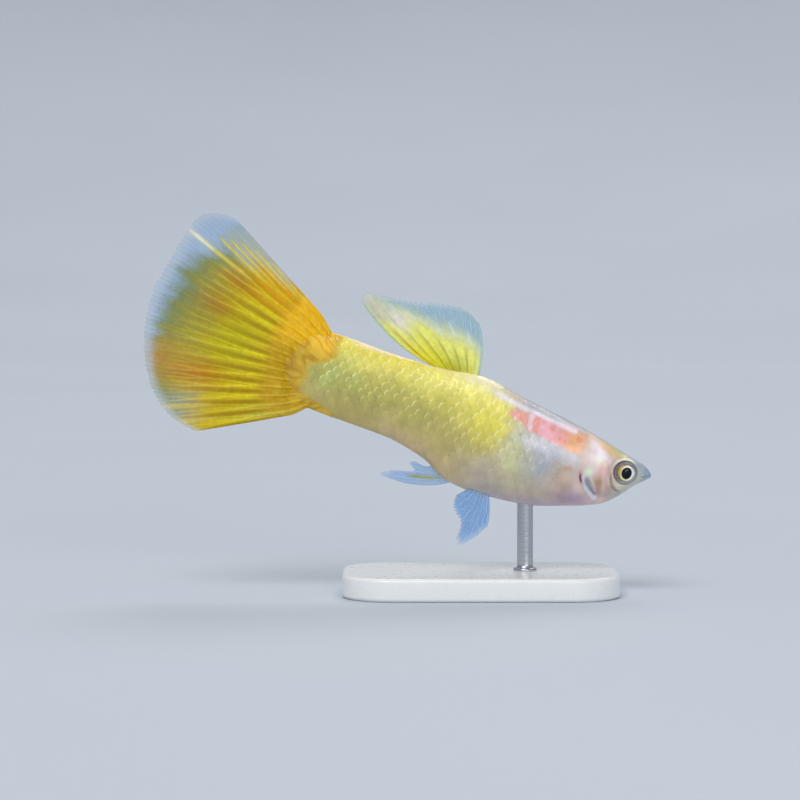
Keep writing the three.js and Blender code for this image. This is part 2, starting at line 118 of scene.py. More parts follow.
def read_curve(points, at):
    """A smooth curve through (position, value) pairs, with no overshoot."""
    x, y = np.array(points, float).T
    slope = np.diff(y) / np.diff(x)
    before, after = slope[:-1], slope[1:]
    same_way = before * after > 0
    middle = np.where(same_way, 2 * before * after / np.where(same_way, before + after, 1), 0)
    tangent = np.concatenate([slope[:1], middle, slope[-1:]])
    at = np.clip(at, x[0], x[-1])
    i = np.clip(np.searchsorted(x, at, side="right") - 1, 0, len(x) - 2)
    span = x[i + 1] - x[i]
    t = (at - x[i]) / span
    return (
        (2 * t**3 - 3 * t**2 + 1) * y[i]
        + (t**3 - 2 * t**2 + t) * span * tangent[i]
        + (3 * t**2 - 2 * t**3) * y[i + 1]
        + (t**3 - t**2) * span * tangent[i + 1]
    )


def spline(points, at):
    """Points of a Catmull-Rom curve through the given ones, at shares 0 to 1 of its length in key points."""
    keys = np.array(points, float)
    keys = np.vstack([2 * keys[0] - keys[1], keys, 2 * keys[-1] - keys[-2]])
    place = np.clip(at, 0, 1) * (len(keys) - 3)
    i = np.minimum(place.astype(int), len(keys) - 4)
    t = (place - i)[..., None]
    a, b, c, d = (keys[i + k] for k in range(4))
    return 0.5 * (2 * b + (c - a) * t + (2 * a - 5 * b + 4 * c - d) * t**2 + (3 * b - a - 3 * c + d) * t**3)


def hashed(*numbers, seed=0):
    """A random number from 0 to 1 for each set of whole numbers, the same on every run."""
    total = np.int64(seed * 7919 + 17)
    for number, prime in zip(numbers, (73856093, 19349663, 83492791)):
        total = total ^ (np.asarray(number).astype(np.int64) * prime)
    total = total & 0xFFFFFFFF
    total = ((total ^ (total >> 13)) * 1274126177) & 0xFFFFFFFF
    total = ((total ^ (total >> 15)) * 668265263) & 0xFFFFFFFF
    return ((total ^ (total >> 16)) & 0xFFFF) / 65535.0


def cloud(points, size, seed=0, octaves=3):
    """Smooth noise from 0 to 1 through space, with its largest patches `size` across."""
    points = np.asarray(points, float)
    total = np.zeros(points.shape[:-1])
    weight, weights = 1.0, 0.0
    for octave in range(octaves):
        scaled = points / size * 2**octave + 37.3 * (octave + 1)
        whole = np.floor(scaled)
        part = scaled - whole
        part = part * part * (3 - 2 * part)
        value = np.zeros(points.shape[:-1])
        for corner in range(8):
            step = np.array([corner & 1, corner >> 1 & 1, corner >> 2])
            share = np.prod(np.where(step, part, 1 - part), -1)
            value += share * hashed(*np.moveaxis(whole + step, -1, 0), seed=seed + octave)
        total += weight * value
        weights += weight
        weight *= 0.55
    return total / weights


def path_distance(back, up, path):
    """Distance to a line through points in side view, the side it lies on, and the share of its length."""
    path = np.array(path, float)
    steps = np.diff(path, axis=0)
    lengths = np.hypot(*steps.T)
    best = np.full(np.shape(back), 1e9)
    hand, share = np.zeros_like(best), np.zeros_like(best)
    for start, step, length, travelled in zip(path, steps, lengths, np.cumsum(lengths) - lengths):
        along = np.clip(((back - start[0]) * step[0] + (up - start[1]) * step[1]) / length**2, 0, 1)
        away = (back - start[0] - along * step[0], up - start[1] - along * step[1])
        distance = np.hypot(*away)
        nearer = distance < best
        best = np.where(nearer, distance, best)
        hand = np.where(nearer, np.sign(step[0] * away[1] - step[1] * away[0]), hand)
        share = np.where(nearer, (travelled + along * length) / lengths.sum(), share)
    return best, hand, share


def curve_through(points, count=40):
    return spline(points, np.linspace(0, 1, count))


def sheet_cloud(along, across, seed, size=1.0):
    """Smooth noise from -0.5 to 0.5 over a sheet."""
    return cloud(np.stack([along, across, np.zeros_like(along)], -1), size, seed=seed) - 0.5


def to_world(points):
    """From the fish's frame in millimetres to the row's frame in metres."""
    back, side, up = np.moveaxis(np.asarray(points, float), -1, 0)
    x = SNOUT_X - back * math.cos(NOSE_DOWN) + up * math.sin(NOSE_DOWN)
    z = SNOUT_Z + back * math.sin(NOSE_DOWN) + up * math.cos(NOSE_DOWN)
    return np.stack([x, side, z], -1) * 0.001


# Meshes
def make_piece(name, points, faces, material, colours=None, values=None):
    """A smooth mesh from world points and faces of three or four corners."""
    points = np.asarray(points, np.float32).reshape(-1, 3)
    corners = np.concatenate([np.asarray(f, np.int32).ravel() for f in faces])
    sizes = np.concatenate([np.full(len(f), np.shape(f)[1], np.int32) for f in faces])
    mesh = bpy.data.meshes.new(name)
    mesh.vertices.add(len(points))
    mesh.vertices.foreach_set("co", points.ravel())
    mesh.loops.add(len(corners))
    mesh.loops.foreach_set("vertex_index", corners)
    mesh.polygons.add(len(sizes))
    mesh.polygons.foreach_set("loop_start", np.concatenate([[0], np.cumsum(sizes)[:-1]]).astype(np.int32))
    mesh.polygons.foreach_set("loop_total", sizes)
    mesh.polygons.foreach_set("use_smooth", np.ones(len(sizes), bool))
    mesh.update(calc_edges=True)
    mesh.validate()
    if colours is not None:
        layer = mesh.color_attributes.new("tint", "FLOAT_COLOR", "POINT")
        rgba = np.concatenate([np.clip(colours, 0, 1).reshape(-1, 3), np.ones((len(points), 1))], 1)
        layer.data.foreach_set("color", rgba.astype(np.float32).ravel())
    for key, value in (values or {}).items():
        layer = mesh.attributes.new(key, "FLOAT", "POINT")
        layer.data.foreach_set("value", np.asarray(value, np.float32).ravel())
    mesh.materials.append(material)
    piece = bpy.data.objects.new(name, mesh)
    bpy.context.scene.collection.objects.link(piece)
    return piece


def grid_faces(rows, columns, closed=False, first=0):
    """Quads of a grid of points, joined round across its columns where it is closed."""
    index = first + np.arange(rows * columns).reshape(rows, columns)
    if closed:
        index = np.concatenate([index, index[:, :1]], 1)
    return np.stack([index[:-1, :-1], index[:-1, 1:], index[1:, 1:], index[1:, :-1]], -1).reshape(-1, 4)


def capped_faces(rows, around):
    """Faces of a grid of rings, with a fan from each end ring to the two points that follow the grid."""
    ring = np.arange(around)
    after = (ring + 1) % around
    last = (rows - 1) * around
    front = np.stack([after, ring, np.full(around, rows * around)], -1)
    rear = np.stack([last + ring, last + after, np.full(around, rows * around + 1)], -1)
    return [grid_faces(rows, around, closed=True), front, rear]


def round_rings(profile, around, x=0.0):
    """Rings of points about an upright axis at x, one for each (radius, height) of the profile."""
    angle = np.arange(around) / around * 2 * np.pi
    circle = np.stack([np.cos(angle), np.sin(angle)], -1)
    return np.concatenate([np.column_stack([circle * r + [x, 0], np.full(around, z)]) for r, z in profile])


def flipped(faces):
    return [np.asarray(f)[:, ::-1] for f in faces]


def grid_normals(points, closed):
    """Unit normals of a grid of points."""
    if closed:
        wrapped = np.concatenate([points[:, -1:], points, points[:, :1]], 1)
        across = np.gradient(wrapped, axis=1)[:, 1:-1]
    else:
        across = np.gradient(points, axis=1)
    along = np.gradient(points, axis=0)
    normal = np.cross(along, across)
    return normal / np.maximum(np.linalg.norm(normal, axis=-1, keepdims=True), 1e-12)


# Materials
def new_material(name):
    material = bpy.data.materials.new(name)
    material.use_nodes = True
    material.node_tree.nodes.clear()
    return material


class Nodes:
    """Short calls for one material's node tree."""

    def __init__(self, material):
        self.tree = material.node_tree

    def add(self, kind, inputs=None, **settings):
        node = self.tree.nodes.new(kind)
        for key, value in settings.items():
            setattr(node, key, value)
        for key, value in (inputs or {}).items():
            self.put(node, key, value)
        return node

    def put(self, node, key, value):
        if isinstance(value, bpy.types.NodeSocket):
            self.tree.links.new(value, node.inputs[key])
        else:
            node.inputs[key].default_value = value

    def attribute(self, name, output="Fac"):
        return self.add("ShaderNodeAttribute", attribute_name=name).outputs[output]

    def place(self):
        return self.add("ShaderNodeTexCoord").outputs["Object"]

    def noise(self, scale, detail=3.0, roughness=0.55, place=None):
        place = place or self.place()
        inputs = {"Vector": place, "Scale": scale, "Detail": detail, "Roughness": roughness}
        return self.add("ShaderNodeTexNoise", inputs).outputs["Fac"]

    def vary(self, scale, detail, low=0.0, high=1.0):
        """Noise that moves between two values."""
        return self.ramp(self.noise(scale, detail), 0.3, 0.7, low, high)

    def shaded(self, tint, amount):
        """A colour made darker or lighter by an amount round 1."""
        grey = self.add("ShaderNodeCombineColor", {"Red": amount, "Green": amount, "Blue": amount})
        return self.blend(1.0, tint, grey.outputs[0], "MULTIPLY")

    def principled(self, inputs):
        return self.add("ShaderNodeBsdfPrincipled", inputs).outputs[0]

    def through(self, cover, shader):
        """A shader that lets the view through where the cover is less than 1."""
        clear = self.add("ShaderNodeBsdfTransparent").outputs[0]
        self.output(self.add("ShaderNodeMixShader", {0: cover, 1: clear, 2: shader}).outputs[0])

    def ramp(self, value, low, high, to_low=0.0, to_high=1.0):
        inputs = {"Value": value, "From Min": low, "From Max": high, "To Min": to_low, "To Max": to_high}
        return self.add("ShaderNodeMapRange", inputs).outputs["Result"]

    def maths(self, operation, first, second=0.5):
        return self.add("ShaderNodeMath", {0: first, 1: second}, operation=operation).outputs[0]

    def blend(self, share, first, second, mode="MIX"):
        node = self.add("ShaderNodeMix", data_type="RGBA", blend_type=mode)
        # Its sockets for colours: 0 is the share, 6 and 7 the two colours, and output 2 the result
        for key, value in ((0, share), (6, first), (7, second)):
            self.put(node, key, value)
        return node.outputs[2]

    def bump(self, height, distance, strength=1.0):
        inputs = {"Height": height, "Distance": distance, "Strength": strength}
        return self.add("ShaderNodeBump", inputs).outputs["Normal"]

    def output(self, shader):
        self.add("ShaderNodeOutputMaterial", {"Surface": shader})


def rgba(red, green, blue):
    """A colour written as on a screen, for a node's socket."""
    return (*(float(part) for part in srgb(red, green, blue)), 1.0)


def skin_material():
    material = new_material("guppy_skin")
    n = Nodes(material)
    skin = n.principled(
        {
            "Base Color": n.shaded(n.attribute("tint", "Color"), n.vary(900, 4, 0.9, 1.08)),
            "Roughness": n.vary(1500, 3, 0.3, 0.46),
            "Metallic": n.attribute("silver"),
            "Normal": n.bump(n.noise(6000, 2), 0.00001, 0.35),
            "Subsurface Weight": 0.22,
            "Subsurface Radius": (1.0, 0.6, 0.4),
            "Subsurface Scale": 0.0007,
            "Coat Weight": 0.35,
            "Coat Roughness": 0.16,
        }
    )
    n.output(skin)
    return material


def fin_material(name, through=0.35):
    """A membrane that light shines through where it is thin, and that the view passes where it is clear."""
    material = new_material(name)
    n = Nodes(material)
    colour = n.shaded(n.attribute("tint", "Color"), n.vary(2600, 3, 0.9, 1.08))
    lit = n.principled(
        {
            "Base Color": colour,
            "Roughness": n.vary(1200, 2, 0.32, 0.5),
            "Normal": n.bump(n.noise(5000, 2), 0.00001, 0.4),
            "Specular IOR Level": 0.16,
            "Coat Weight": 0.03,
            "Coat Roughness": 0.2,
        }
    )
    glow = n.add("ShaderNodeBsdfTranslucent", {"Color": colour}).outputs[0]
    share = n.ramp(n.attribute("thin"), 0, 1, 0.1, through)
    body = n.add("ShaderNodeMixShader", {0: share, 1: lit, 2: glow}).outputs[0]
    n.through(n.attribute("cover"), body)
    return material


# Body
def caudal_spread(u):
    """How much of their full spread the tail's rays have: they stand closer where they leave the flesh."""
    return 0.84 + 0.16 * smooth(u, -0.08, 0.2)


def caudal_place(back, up):
    """Where a point in side view lies on the tail fin, as shares of its reach and of its fan from the top."""
    back, up = back - CAUDAL_APEX[0], up - CAUDAL_APEX[1]
    u = (np.hypot(back, up) - CAUDAL_ROOT) / CAUDAL_REACH
    angle = np.degrees(np.arctan2(up, back))
    return u, (CAUDAL_TOP - (angle - CAUDAL_TILT) / caudal_spread(u)) / CAUDAL_FAN


def body_grid(stations, around):
    back, angle = np.meshgrid(stations, np.arange(around) / around * 2 * np.pi, indexing="ij")
    middle = read_curve(WIDEST_HEIGHTS, back)
    c, s = np.cos(angle), np.sin(angle)
    top, bottom = read_curve(BACK_LINE, back), read_curve(BELLY_LINE, back)
    middle = np.clip(middle, bottom + 0.05, top - 0.05)
    power = 2 / np.where(c > 0, read_curve(CROWN_SQUARENESS, back), read_curve(BELLY_SQUARENESS, back))
    side = read_curve(HALF_WIDTHS, back) * np.sign(s) * np.abs(s) ** power
    up = middle + np.where(c > 0, top - middle, middle - bottom) * np.sign(c) * np.abs(c) ** power
    return np.stack([back, side, up], -1)


def girth_place(points):
    """For each point of the body's grid, its distance along the ring above the widest line."""
    rings = points[:, :, 1:]
    steps = np.linalg.norm(np.diff(np.concatenate([rings, rings[:, :1]], 1), axis=1), axis=-1)
    run = np.concatenate([np.zeros((len(rings), 1)), np.cumsum(steps, 1)], 1)
    half = rings.shape[1] // 2
    quarter = half // 2
    down_left = run[:, : half + 1]
    place = np.zeros(rings.shape[:2])
    place[:, : half + 1] = down_left[:, quarter : quarter + 1] - down_left
    place[:, half + 1 :] = place[:, 1:half][:, ::-1]
    return place


# Scales: their length and height in millimetres, how round their rear edge is, and how far it stands off
SCALE_PITCH, SCALE_ROW, SCALE_ROUND, SCALE_RISE = 0.88, 0.68, 0.46, 0.03


def scale_plates(back, girth, width):
    """Overlapping scales: how far a point lies ahead of its scale's rear edge, where it lies across the
    scale, and a random number for each scale."""
    x = back / SCALE_PITCH
    y = girth / SCALE_ROW * width
    ahead = np.full(np.shape(back), 9.0)
    chance = np.zeros(np.shape(back))
    across = np.zeros(np.shape(back))
    for step in (0, 1):
        row = np.floor(y) + step
        off = (y - row) / 0.84
        edge = SCALE_ROUND * np.sqrt(np.clip(1 - off**2, 0, 1)) + 0.5 * (row % 2)
        edge = edge + 0.08 * hashed(row, seed=3)
        number = np.ceil(x - edge)
        here = np.where(np.abs(off) < 1, number + edge - x, 9)
        nearer = here < ahead
        ahead = np.where(nearer, here, ahead)
        across = np.where(nearer, off, across)
        chance = np.where(nearer, hashed(row, number, seed=5), chance)
    return np.clip(ahead, 0, 1), across, chance


def eye_side(radius):
    """How far out of the middle plane the eyeball's front lies, at a radius from its centre."""
    return EYE_SIDE + EYE_DEPTH * np.sqrt(np.clip(1 - (radius / EYE_RADIUS) ** 2, 0, 1))


def build_skin():
    around = 352
    cap = np.sin(np.linspace(0.08, math.pi / 2, 12))[:-1]
    stations = np.concatenate([np.arange(0, 7.5, 0.05), np.arange(7.5, SKIN_END - 0.03, 0.068), [SKIN_END]])
    trunk = body_grid(stations, around)
    first = trunk[:1]
    centre = first.mean(1, keepdims=True)
    nose = centre + (first - centre) * cap[:, None, None]
    nose[:, :, 0] -= 0.12 * np.sqrt(1 - cap[:, None] ** 2)
    grid = np.concatenate([nose, trunk], 0)
    back, side, up = np.moveaxis(grid, -1, 0)
    normal = grid_normals(grid, closed=True)
    left_flank = normal[60, around // 4]
    normal *= np.sign(left_flank[1])
    girth = girth_place(grid)
    top, bottom = read_curve(BACK_LINE, back), read_curve(BELLY_LINE, back)
    height = np.clip((up - bottom) / np.maximum(top - bottom, 0.1), 0, 1)

    # Scales
    narrower = 1 + 0.25 * smooth(back, 16, 30)
    ahead, across, chance = scale_plates(back, girth, narrower)
    warp = cloud(grid, 2.5, seed=11) - 0.5
    scales_end = 31.4 - 1.8 * smooth(up, -0.6, 1.6) - 3.0 * smooth(-up, 2.4, 3.7)
    scaled = smooth(back + warp, 6.8, 12.0) * fade(back + warp, scales_end - 1.0, scales_end + 0.4)
    scaled *= 0.3 + 0.7 * smooth(height, 0.05, 0.3)
    rise = SCALE_RISE * scaled * ((1 - ahead) ** 1.6 - 0.25 * across**2 * (1 - ahead))
    broken = 0.7 * (cloud(grid, 0.5, seed=13, octaves=2) - 0.5)
    # The scales' rear rims, whose upper halves the colours light as a painted highlight
    rim = bell(ahead + 0.1 * broken, 0.085) * scaled * smooth(across + broken, -0.35, 0.1)
    rim = rim * (1 - 0.6 * smooth(across, 0.75, 1))

    # Gill cover: a flap that stands off at its rear edge, with a slit behind it
    edge = curve_through(GILL_EDGE, 60)
    far, hand, along = path_distance(back, up, edge)
    inside = -hand * far
    ends = smooth(along, 0.22, 0.38) * fade(along, 0.6, 0.8)
    flap = 0.085 * ends * np.exp(-np.clip(inside, 0, None) / 0.6) * (inside >= 0)
    slit = -0.08 * smooth(along, 0.32, 0.4) * fade(along, 0.5, 0.6)
    slit = slit * bell(inside, 0.12) * (inside < 0)

    # Cheek, mouth, nostril, throat
    groove, _, groove_share = path_distance(back, up, curve_through(CHEEK_GROOVE))
    ridge, _, _ = path_distance(back, up, curve_through(CHEEK_RIDGE))
    mouth, _, mouth_share = path_distance(back, up, curve_through(MOUTH))
    nostril = np.hypot(back - NOSTRIL[0], up - NOSTRIL[1])
    cheek = (0.035 * bell(groove - 0.3, 0.2) - 0.08 * bell(groove, 0.15)) * smooth(groove_share, 0, 0.3)
    cheek += 0.045 * bell(ridge, 0.16) - 0.03 * bell(ridge - 0.28, 0.16)
    cheek *= smooth(height, 0.02, 0.12)
    lips = (0.03 * bell(mouth - 0.17, 0.12) - 0.04 * bell(mouth, 0.05)) * smooth(mouth_share, 0.1, 0.45)
    pits = -0.06 * bell(nostril, 0.09) + 0.01 * bell(nostril - 0.17, 0.06)
    soft = 0.06 * (cloud(grid, 1.3, seed=21) - 0.5) * (1 - scaled)

    # Tail base: wrinkled flesh that runs out into the fin's rays
    outward_share, spread = caudal_place(back, up)
    folds = 0.5 - 0.5 * np.cos(2 * np.pi * spread * CAUDAL_RAYS)
    wrinkle = tail_creases(outward_share, spread)
    base = smooth(back, scales_end - 1.0, scales_end + 0.4)
    rays = 0.03 * folds * smooth(back, 32.4, 33.4)
    rays -= 0.02 * fade(wrinkle, 0.0, 0.7) * base * fade(back, 32.8, 33.6)

    rise = rise + flap + slit + cheek + lips + pits + soft + rays
    grid = grid + normal * rise[..., None]

    # The orbit: skin sinks to the eyeball's edge with a soft rim, and passes under the eyeball
    radius = np.hypot(back - EYE_BACK, up - EYE_UP)
    edge_side = eye_side(0.98) + 0.05
    reach = np.abs(grid[:, :, 1])
    lean = 0.16 * (back - EYE_BACK)
    meet = mix(reach, edge_side + lean, 1 - smooth(radius, 1.0, 1.62))
    brow = smooth(up - EYE_UP, 0.0, 0.8)
    rim_fold = (0.05 + 0.06 * brow) * bell(radius - 1.15, 0.11)
    under = EYE_SIDE - 0.75
    sunk = np.where(radius < 1.02, mix(under, meet, smooth(radius, 0.93, 1.02)), meet + rim_fold)
    outer = np.abs(side) > 0.5
    near_eye = (radius < 1.9) & outer & (back < 6)
    reach = np.where(near_eye, np.minimum(np.maximum(sunk, 0.3), reach + 0.14), reach)
    grid[:, :, 1] = np.sign(side) * reach

    plates = (ahead, across, chance, rim, scaled)
    colours, silver = skin_colours(grid, back, side, up, height, girth, plates, inside, wrinkle)
    nose_tip = to_world([-0.125, 0, -0.1])
    tail_tip = to_world([SKIN_END + 0.01, 0, -0.3])
    world = np.vstack([to_world(grid).reshape(-1, 3), nose_tip, tail_tip])
    faces = capped_faces(len(grid), around)
    ends_colour = np.stack([colours[0].mean(0), colours[-1].mean(0)])
    colours = np.vstack([colours.reshape(-1, 3), ends_colour])
    silver = np.concatenate([silver.ravel(), [0, 0]])
    piece = make_piece("guppy_skin", world, faces, skin_material(), colours, {"silver": silver})
    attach(piece, "root")
    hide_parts("head", "trunk", "tail_stem", "gill_cover_left", "gill_cover_right")
    return piece


def tail_creases(reach, spread):
    """0 in the creases of the tail's flesh and 1 between them."""
    place = np.stack([reach * 13 + spread * 5, spread * CAUDAL_RAYS * 0.9, np.zeros_like(reach)], -1)
    return np.clip(np.abs(cloud(place, 1.0, seed=23, octaves=2) - 0.5) / 0.14, 0, 1)


def tail_flesh(wrinkle, up):
    """The colour of the tail's flesh, which runs from the skin out over the roots of the fin's rays."""
    colour = mix(srgb(200, 160, 16), srgb(246, 192, 18), smooth(up, 0.2, 2.4))
    # Painted highlight on the folds between the creases, painted shade in the creases
    colour = mix(colour, srgb(244, 204, 60), smooth(wrinkle, 0.5, 0.95) * 0.35)
    return mix(colour, srgb(196, 124, 4), fade(wrinkle, 0.05, 0.4) * 0.5)


class Coat:
    """Colours laid over one another on a grid of points."""

    def __init__(self, ground, shape):
        self.colour = np.broadcast_to(srgb(*ground), shape).copy()

    def lay(self, rgb, share):
        self.colour = mix(self.colour, srgb(*rgb), np.clip(share, 0, 1))


# Spots of the head, above and below the cheek's ridge: colour, middle, half size, uneven edge, strength
UPPER_SPOTS = [
    ((236, 230, 200), (4.5, -0.25), (0.7, 0.4), 0.4, 0.7),
    ((244, 192, 182), (4.05, -0.95), (0.45, 0.7), 0, 0.9),
    ((214, 178, 184), (4.75, -1.45), (0.4, 0.35), 0, 0.8),
    ((166, 136, 92), (4.2, -1.98), (0.75, 0.56), 0.3, 0.85),
    ((186, 134, 136), (4.05, -2.75), (0.45, 0.5), 0, 0.8),
]
LOWER_SPOTS = [
    ((168, 142, 132), (3.0, -2.1), (0.45, 0.5), 0, 0.8),
    ((180, 160, 150), (2.9, -2.8), (0.9, 0.4), 0, 0.6),
    ((164, 140, 172), (5.8, -4.1), (1.8, 0.9), 0, 0.85),
]


def skin_colours(grid, back, side, up, height, girth, plates, inside, wrinkle):
    """The skin's markings with painted highlights and shade, laid over one another in the fish's frame, and
    how silvery it is.
    """
    ahead, across, chance, rim, scaled = plates
    patch = cloud(grid, 3.0, seed=31) - 0.5
    fleck = cloud(grid, 0.8, seed=41, octaves=2) - 0.5
    brushed = cloud(grid * np.array([1.0, 1.0, 0.35]), 0.5, seed=43, octaves=2) - 0.5
    b = back + 1.6 * patch + 0.7 * fleck
    h = height + 0.10 * patch + 0.08 * fleck

    coat = Coat((206, 196, 184), grid.shape)
    lay = coat.lay

    def spot(middle, size, uneven=0.0):
        """1 in the middle of an oval spot, fading away from it, with an uneven edge."""
        away = np.hypot((back - middle[0]) / size[0], (up - middle[1]) / size[1])
        return bell(away + uneven * fleck, 1.0)

    def near_line(*points):
        """Distance to a smooth line in side view, and the share of its length."""
        distance, _, share = path_distance(back, up, curve_through(points))
        return distance, share

    # Flank, from the shoulder to the tail
    lay((198, 180, 112), smooth(b, 11.0, 15.5))
    lay((188, 174, 96), smooth(b, 12.0, 15.5) * smooth(h, 0.18, 0.46))
    lay((222, 210, 92), smooth(b, 11.0, 14.0) * smooth(h, 0.38, 0.7))
    lay((244, 232, 116), smooth(b, 12.0, 15.0) * smooth(h, 0.62, 0.86) * (1 - 0.6 * smooth(b, 20, 24)))
    lay((238, 222, 84), smooth(b, 20.0, 24.0) * smooth(h, 0.66, 0.9) * 0.8)
    lay((180, 174, 82), bell(b - 24.6, 4.8) * bell(h - 0.5, 0.24) * 0.8)
    lay((176, 160, 84), bell(b - 27.5, 3.2) * fade(h, 0.2, 0.45) * 0.7)
    lay((176, 180, 92), bell(b - 29.4, 2.4) * bell(h - 0.5, 0.24) * 0.8)
    lay((236, 222, 66), bell(b - 14.2, 1.9) * bell(h - 0.62, 0.18) * 0.7)
    lay((204, 176, 140), bell(b - 20.5, 4.5) * fade(h, 0.04, 0.26) * 0.7)
    # Belly
    lay((188, 174, 158), fade(b, 13.0, 18.5) * fade(h, 0.16, 0.46) * smooth(b, 3, 6))
    lay((178, 164, 184), fade(b, 10, 17) * fade(h, 0.0, 0.14) * 0.8)
    # Shoulder
    lay((192, 190, 194), bell(b - 9.2, 2.8) * smooth(h, 0.28, 0.46) * fade(h, 0.84, 0.97))
    lay((176, 178, 188), bell(b - 9.8, 1.7) * bell(h - 0.44, 0.12) * 0.85)
    lay((212, 209, 134), bell(b - 11.7, 1.4) * bell(h - 0.46, 0.24) * 0.75)
    lay((228, 226, 238), bell(b - 10.0, 1.7) * bell(h - 0.62, 0.06) * 0.5)
    # The pale patch behind the gill cover that the pectoral fin grows from
    root = np.hypot((back - 7.3) / 1.5, (up + 2.8) / 1.8) + 0.4 * fleck
    lay((214, 184, 156), fade(root, 0.3, 1.2) * 0.7)
    outline = [(6.9, -1.5), (7.3, -1.65), (7.83, -2.1), (8.04, -2.83), (8.37, -4.16)]
    rear_edge, rear_share = near_line(*outline)
    lay((192, 154, 118), bell(rear_edge + 0.1 * fleck, 0.2 + 0.1 * rear_share) * (0.7 - 0.5 * rear_share))
    lay((236, 228, 236), spot((6.9, -0.55), (0.5, 0.5), 0.5) * 0.7)
    # Back, the pale top of its ridge a painted highlight
    lay((250, 226, 180), smooth(b, 14.5, 17.5) * fade(b, 27, 30) * smooth(h, 0.95, 0.99) * 0.8)
    lay((250, 242, 206), bell(b - 15.8, 2.2) * smooth(h, 0.84, 0.95) * 0.85)
    lay((174, 176, 186), fade(b, 12.0, 15.8) * smooth(b, 4.2, 8.0) * smooth(h, 0.88, 0.97) * 0.9)
    lay((206, 176, 170), bell(b - 13.4, 1.1) * smooth(h, 0.9, 0.97) * 0.5)
    # Tail base: orange flesh with fine creases
    tail_edge = 31.5 - 2.1 * smooth(up, -0.6, 1.6) - 3.4 * smooth(-up, 2.3, 3.7)
    tail_edge = tail_edge + 0.8 * patch + 0.6 * fleck
    lay((204, 166, 30), smooth(back, tail_edge - 1.1, tail_edge + 0.7))
    lay((238, 184, 22), smooth(back, 28.6, 30.4) * smooth(up, 0.4, 2.6))
    flesh = smooth(back, tail_edge - 0.6, tail_edge + 0.6)
    shaded = 1 - 0.15 * smooth(back, 31.2, 33.2)
    coat.colour = mix(coat.colour, tail_flesh(wrinkle, up) * shaded[..., None], flesh)
    # The salmon bar, and above it a bright line that is a painted highlight
    bar, bar_share = near_line((13.1, 1.56), (10.9, 1.3), (8.6, 1.02), (6.2, 0.66))
    bar = bar + 0.3 * patch + 0.5 * fleck + 0.3 * brushed
    bar_width = 0.32 + 0.5 * smooth(bar_share, 0.0, 0.4)
    bar_mask = fade(bar, bar_width - 0.2, bar_width + 0.24) * smooth(np.abs(side), 0.4, 0.8)
    lay((242, 168, 154), bar_mask * 0.95)
    lay((248, 184, 200), bar_mask * bell(bar_share - 0.5, 0.14) * 0.7)
    lay((246, 184, 134), bar_mask * smooth(bar_share, 0.66, 0.84))
    lay((226, 134, 112), bar_mask * smooth(0.6 * fleck + brushed, 0.06, 0.24) * 0.6)
    lay((252, 232, 240), bar_mask * smooth(-brushed, 0.1, 0.26) * fade(bar_share, 0.6, 0.75) * 0.7)
    # Painted highlight: the bright line of light along the shoulder's upper side
    line, highlight_line_share = near_line((15.9, 2.82), (12.6, 2.24), (10.3, 1.98), (7.4, 1.62))
    highlight_line_mask = bell(line + 0.14 * fleck, 0.22) * smooth(highlight_line_share, 0.0, 0.2) * (back < 17)
    lay((248, 240, 250), highlight_line_mask * 0.9)
    # Head
    on_head = 1 - smooth(back + 0.6 * patch, 5.6, 6.8)
    lay((230, 202, 190), on_head)
    lay((240, 206, 172), on_head * spot((5.9, 1.35), (0.8, 0.5)) * 0.8)
    lay((228, 186, 122), on_head * smooth(height, 0.8, 0.92) * bell(back - 3.9, 1.3))
    lay((190, 200, 136), on_head * smooth(height, 0.86, 0.95) * bell(back - 3.2, 0.6) * 0.8)
    lay((184, 188, 188), on_head * smooth(height, 0.968, 0.99) * 0.6)
    pearl, pearl_share = near_line((5.6, 1.15), (5.1, 0.84), (4.6, 0.48), (4.0, -0.1))
    pearl_fade = 0.95 - 0.45 * smooth(pearl_share, 0.6, 1)
    lay((236, 224, 226), spot((5.0, 0.0), (1.1, 0.8), 0.5) * 0.8)
    lay((252, 238, 242), bell(pearl + 0.5 * fleck + 0.4 * brushed, 0.36) * pearl_fade)
    for rgb, middle, size, uneven, strength in UPPER_SPOTS:
        lay(rgb, spot(middle, size, uneven) * strength)
    lay((224, 192, 186), bell(near_line(*CHEEK_RIDGE)[0], 0.2) * 0.7)
    for rgb, middle, size, uneven, strength in LOWER_SPOTS:
        lay(rgb, spot(middle, size, uneven) * strength)
    # Gill cover: a pale, bluish rear edge round a slate core, and a dark red slit behind it
    on_flap = smooth(inside, -0.05, 0.05)
    streak, streak_share = near_line((5.75, -1.5), (5.55, -2.15), (5.0, -2.8), (4.2, -3.3))
    streak_start = smooth(streak_share, 0, 0.1)
    lay((226, 234, 236), bell(streak + 0.2 * fleck, 0.25) * on_flap * streak_start * 0.95)
    lay((224, 244, 214), spot((5.3, -1.32), (0.42, 0.4), 0.5) * 0.95)
    core, core_share = near_line((5.4, -1.75), (5.12, -2.25), (4.7, -2.65), (4.2, -3.02))
    core_width = 0.11 + 0.15 * bell(core_share - 0.35, 0.3)
    core_start = smooth(core_share, -0.1, 0.2)
    lay((122, 138, 158), bell(core + 0.15 * fleck, core_width) * core_start * 0.9)
    front_edge, _, _ = path_distance(back, up, [(4.95, -1.75), (4.5, -2.3), (4.25, -2.7)])
    lay((232, 228, 236), bell(front_edge, 0.1) * 0.35)
    slit, _, slit_share = path_distance(back, up, [(5.93, -1.6), (5.86, -1.95), (5.6, -2.45)])
    slit_ends = smooth(slit_share, 0.0, 0.2) * fade(slit_share, 0.8, 1.0)
    lay((214, 160, 176), bell(slit, 0.22) * 0.6)
    lay((118, 36, 62), bell(slit, 0.085) * slit_ends)
    lay((248, 234, 246), bell(np.hypot(back - 4.1, up + 3.35), 0.2) * 0.9)
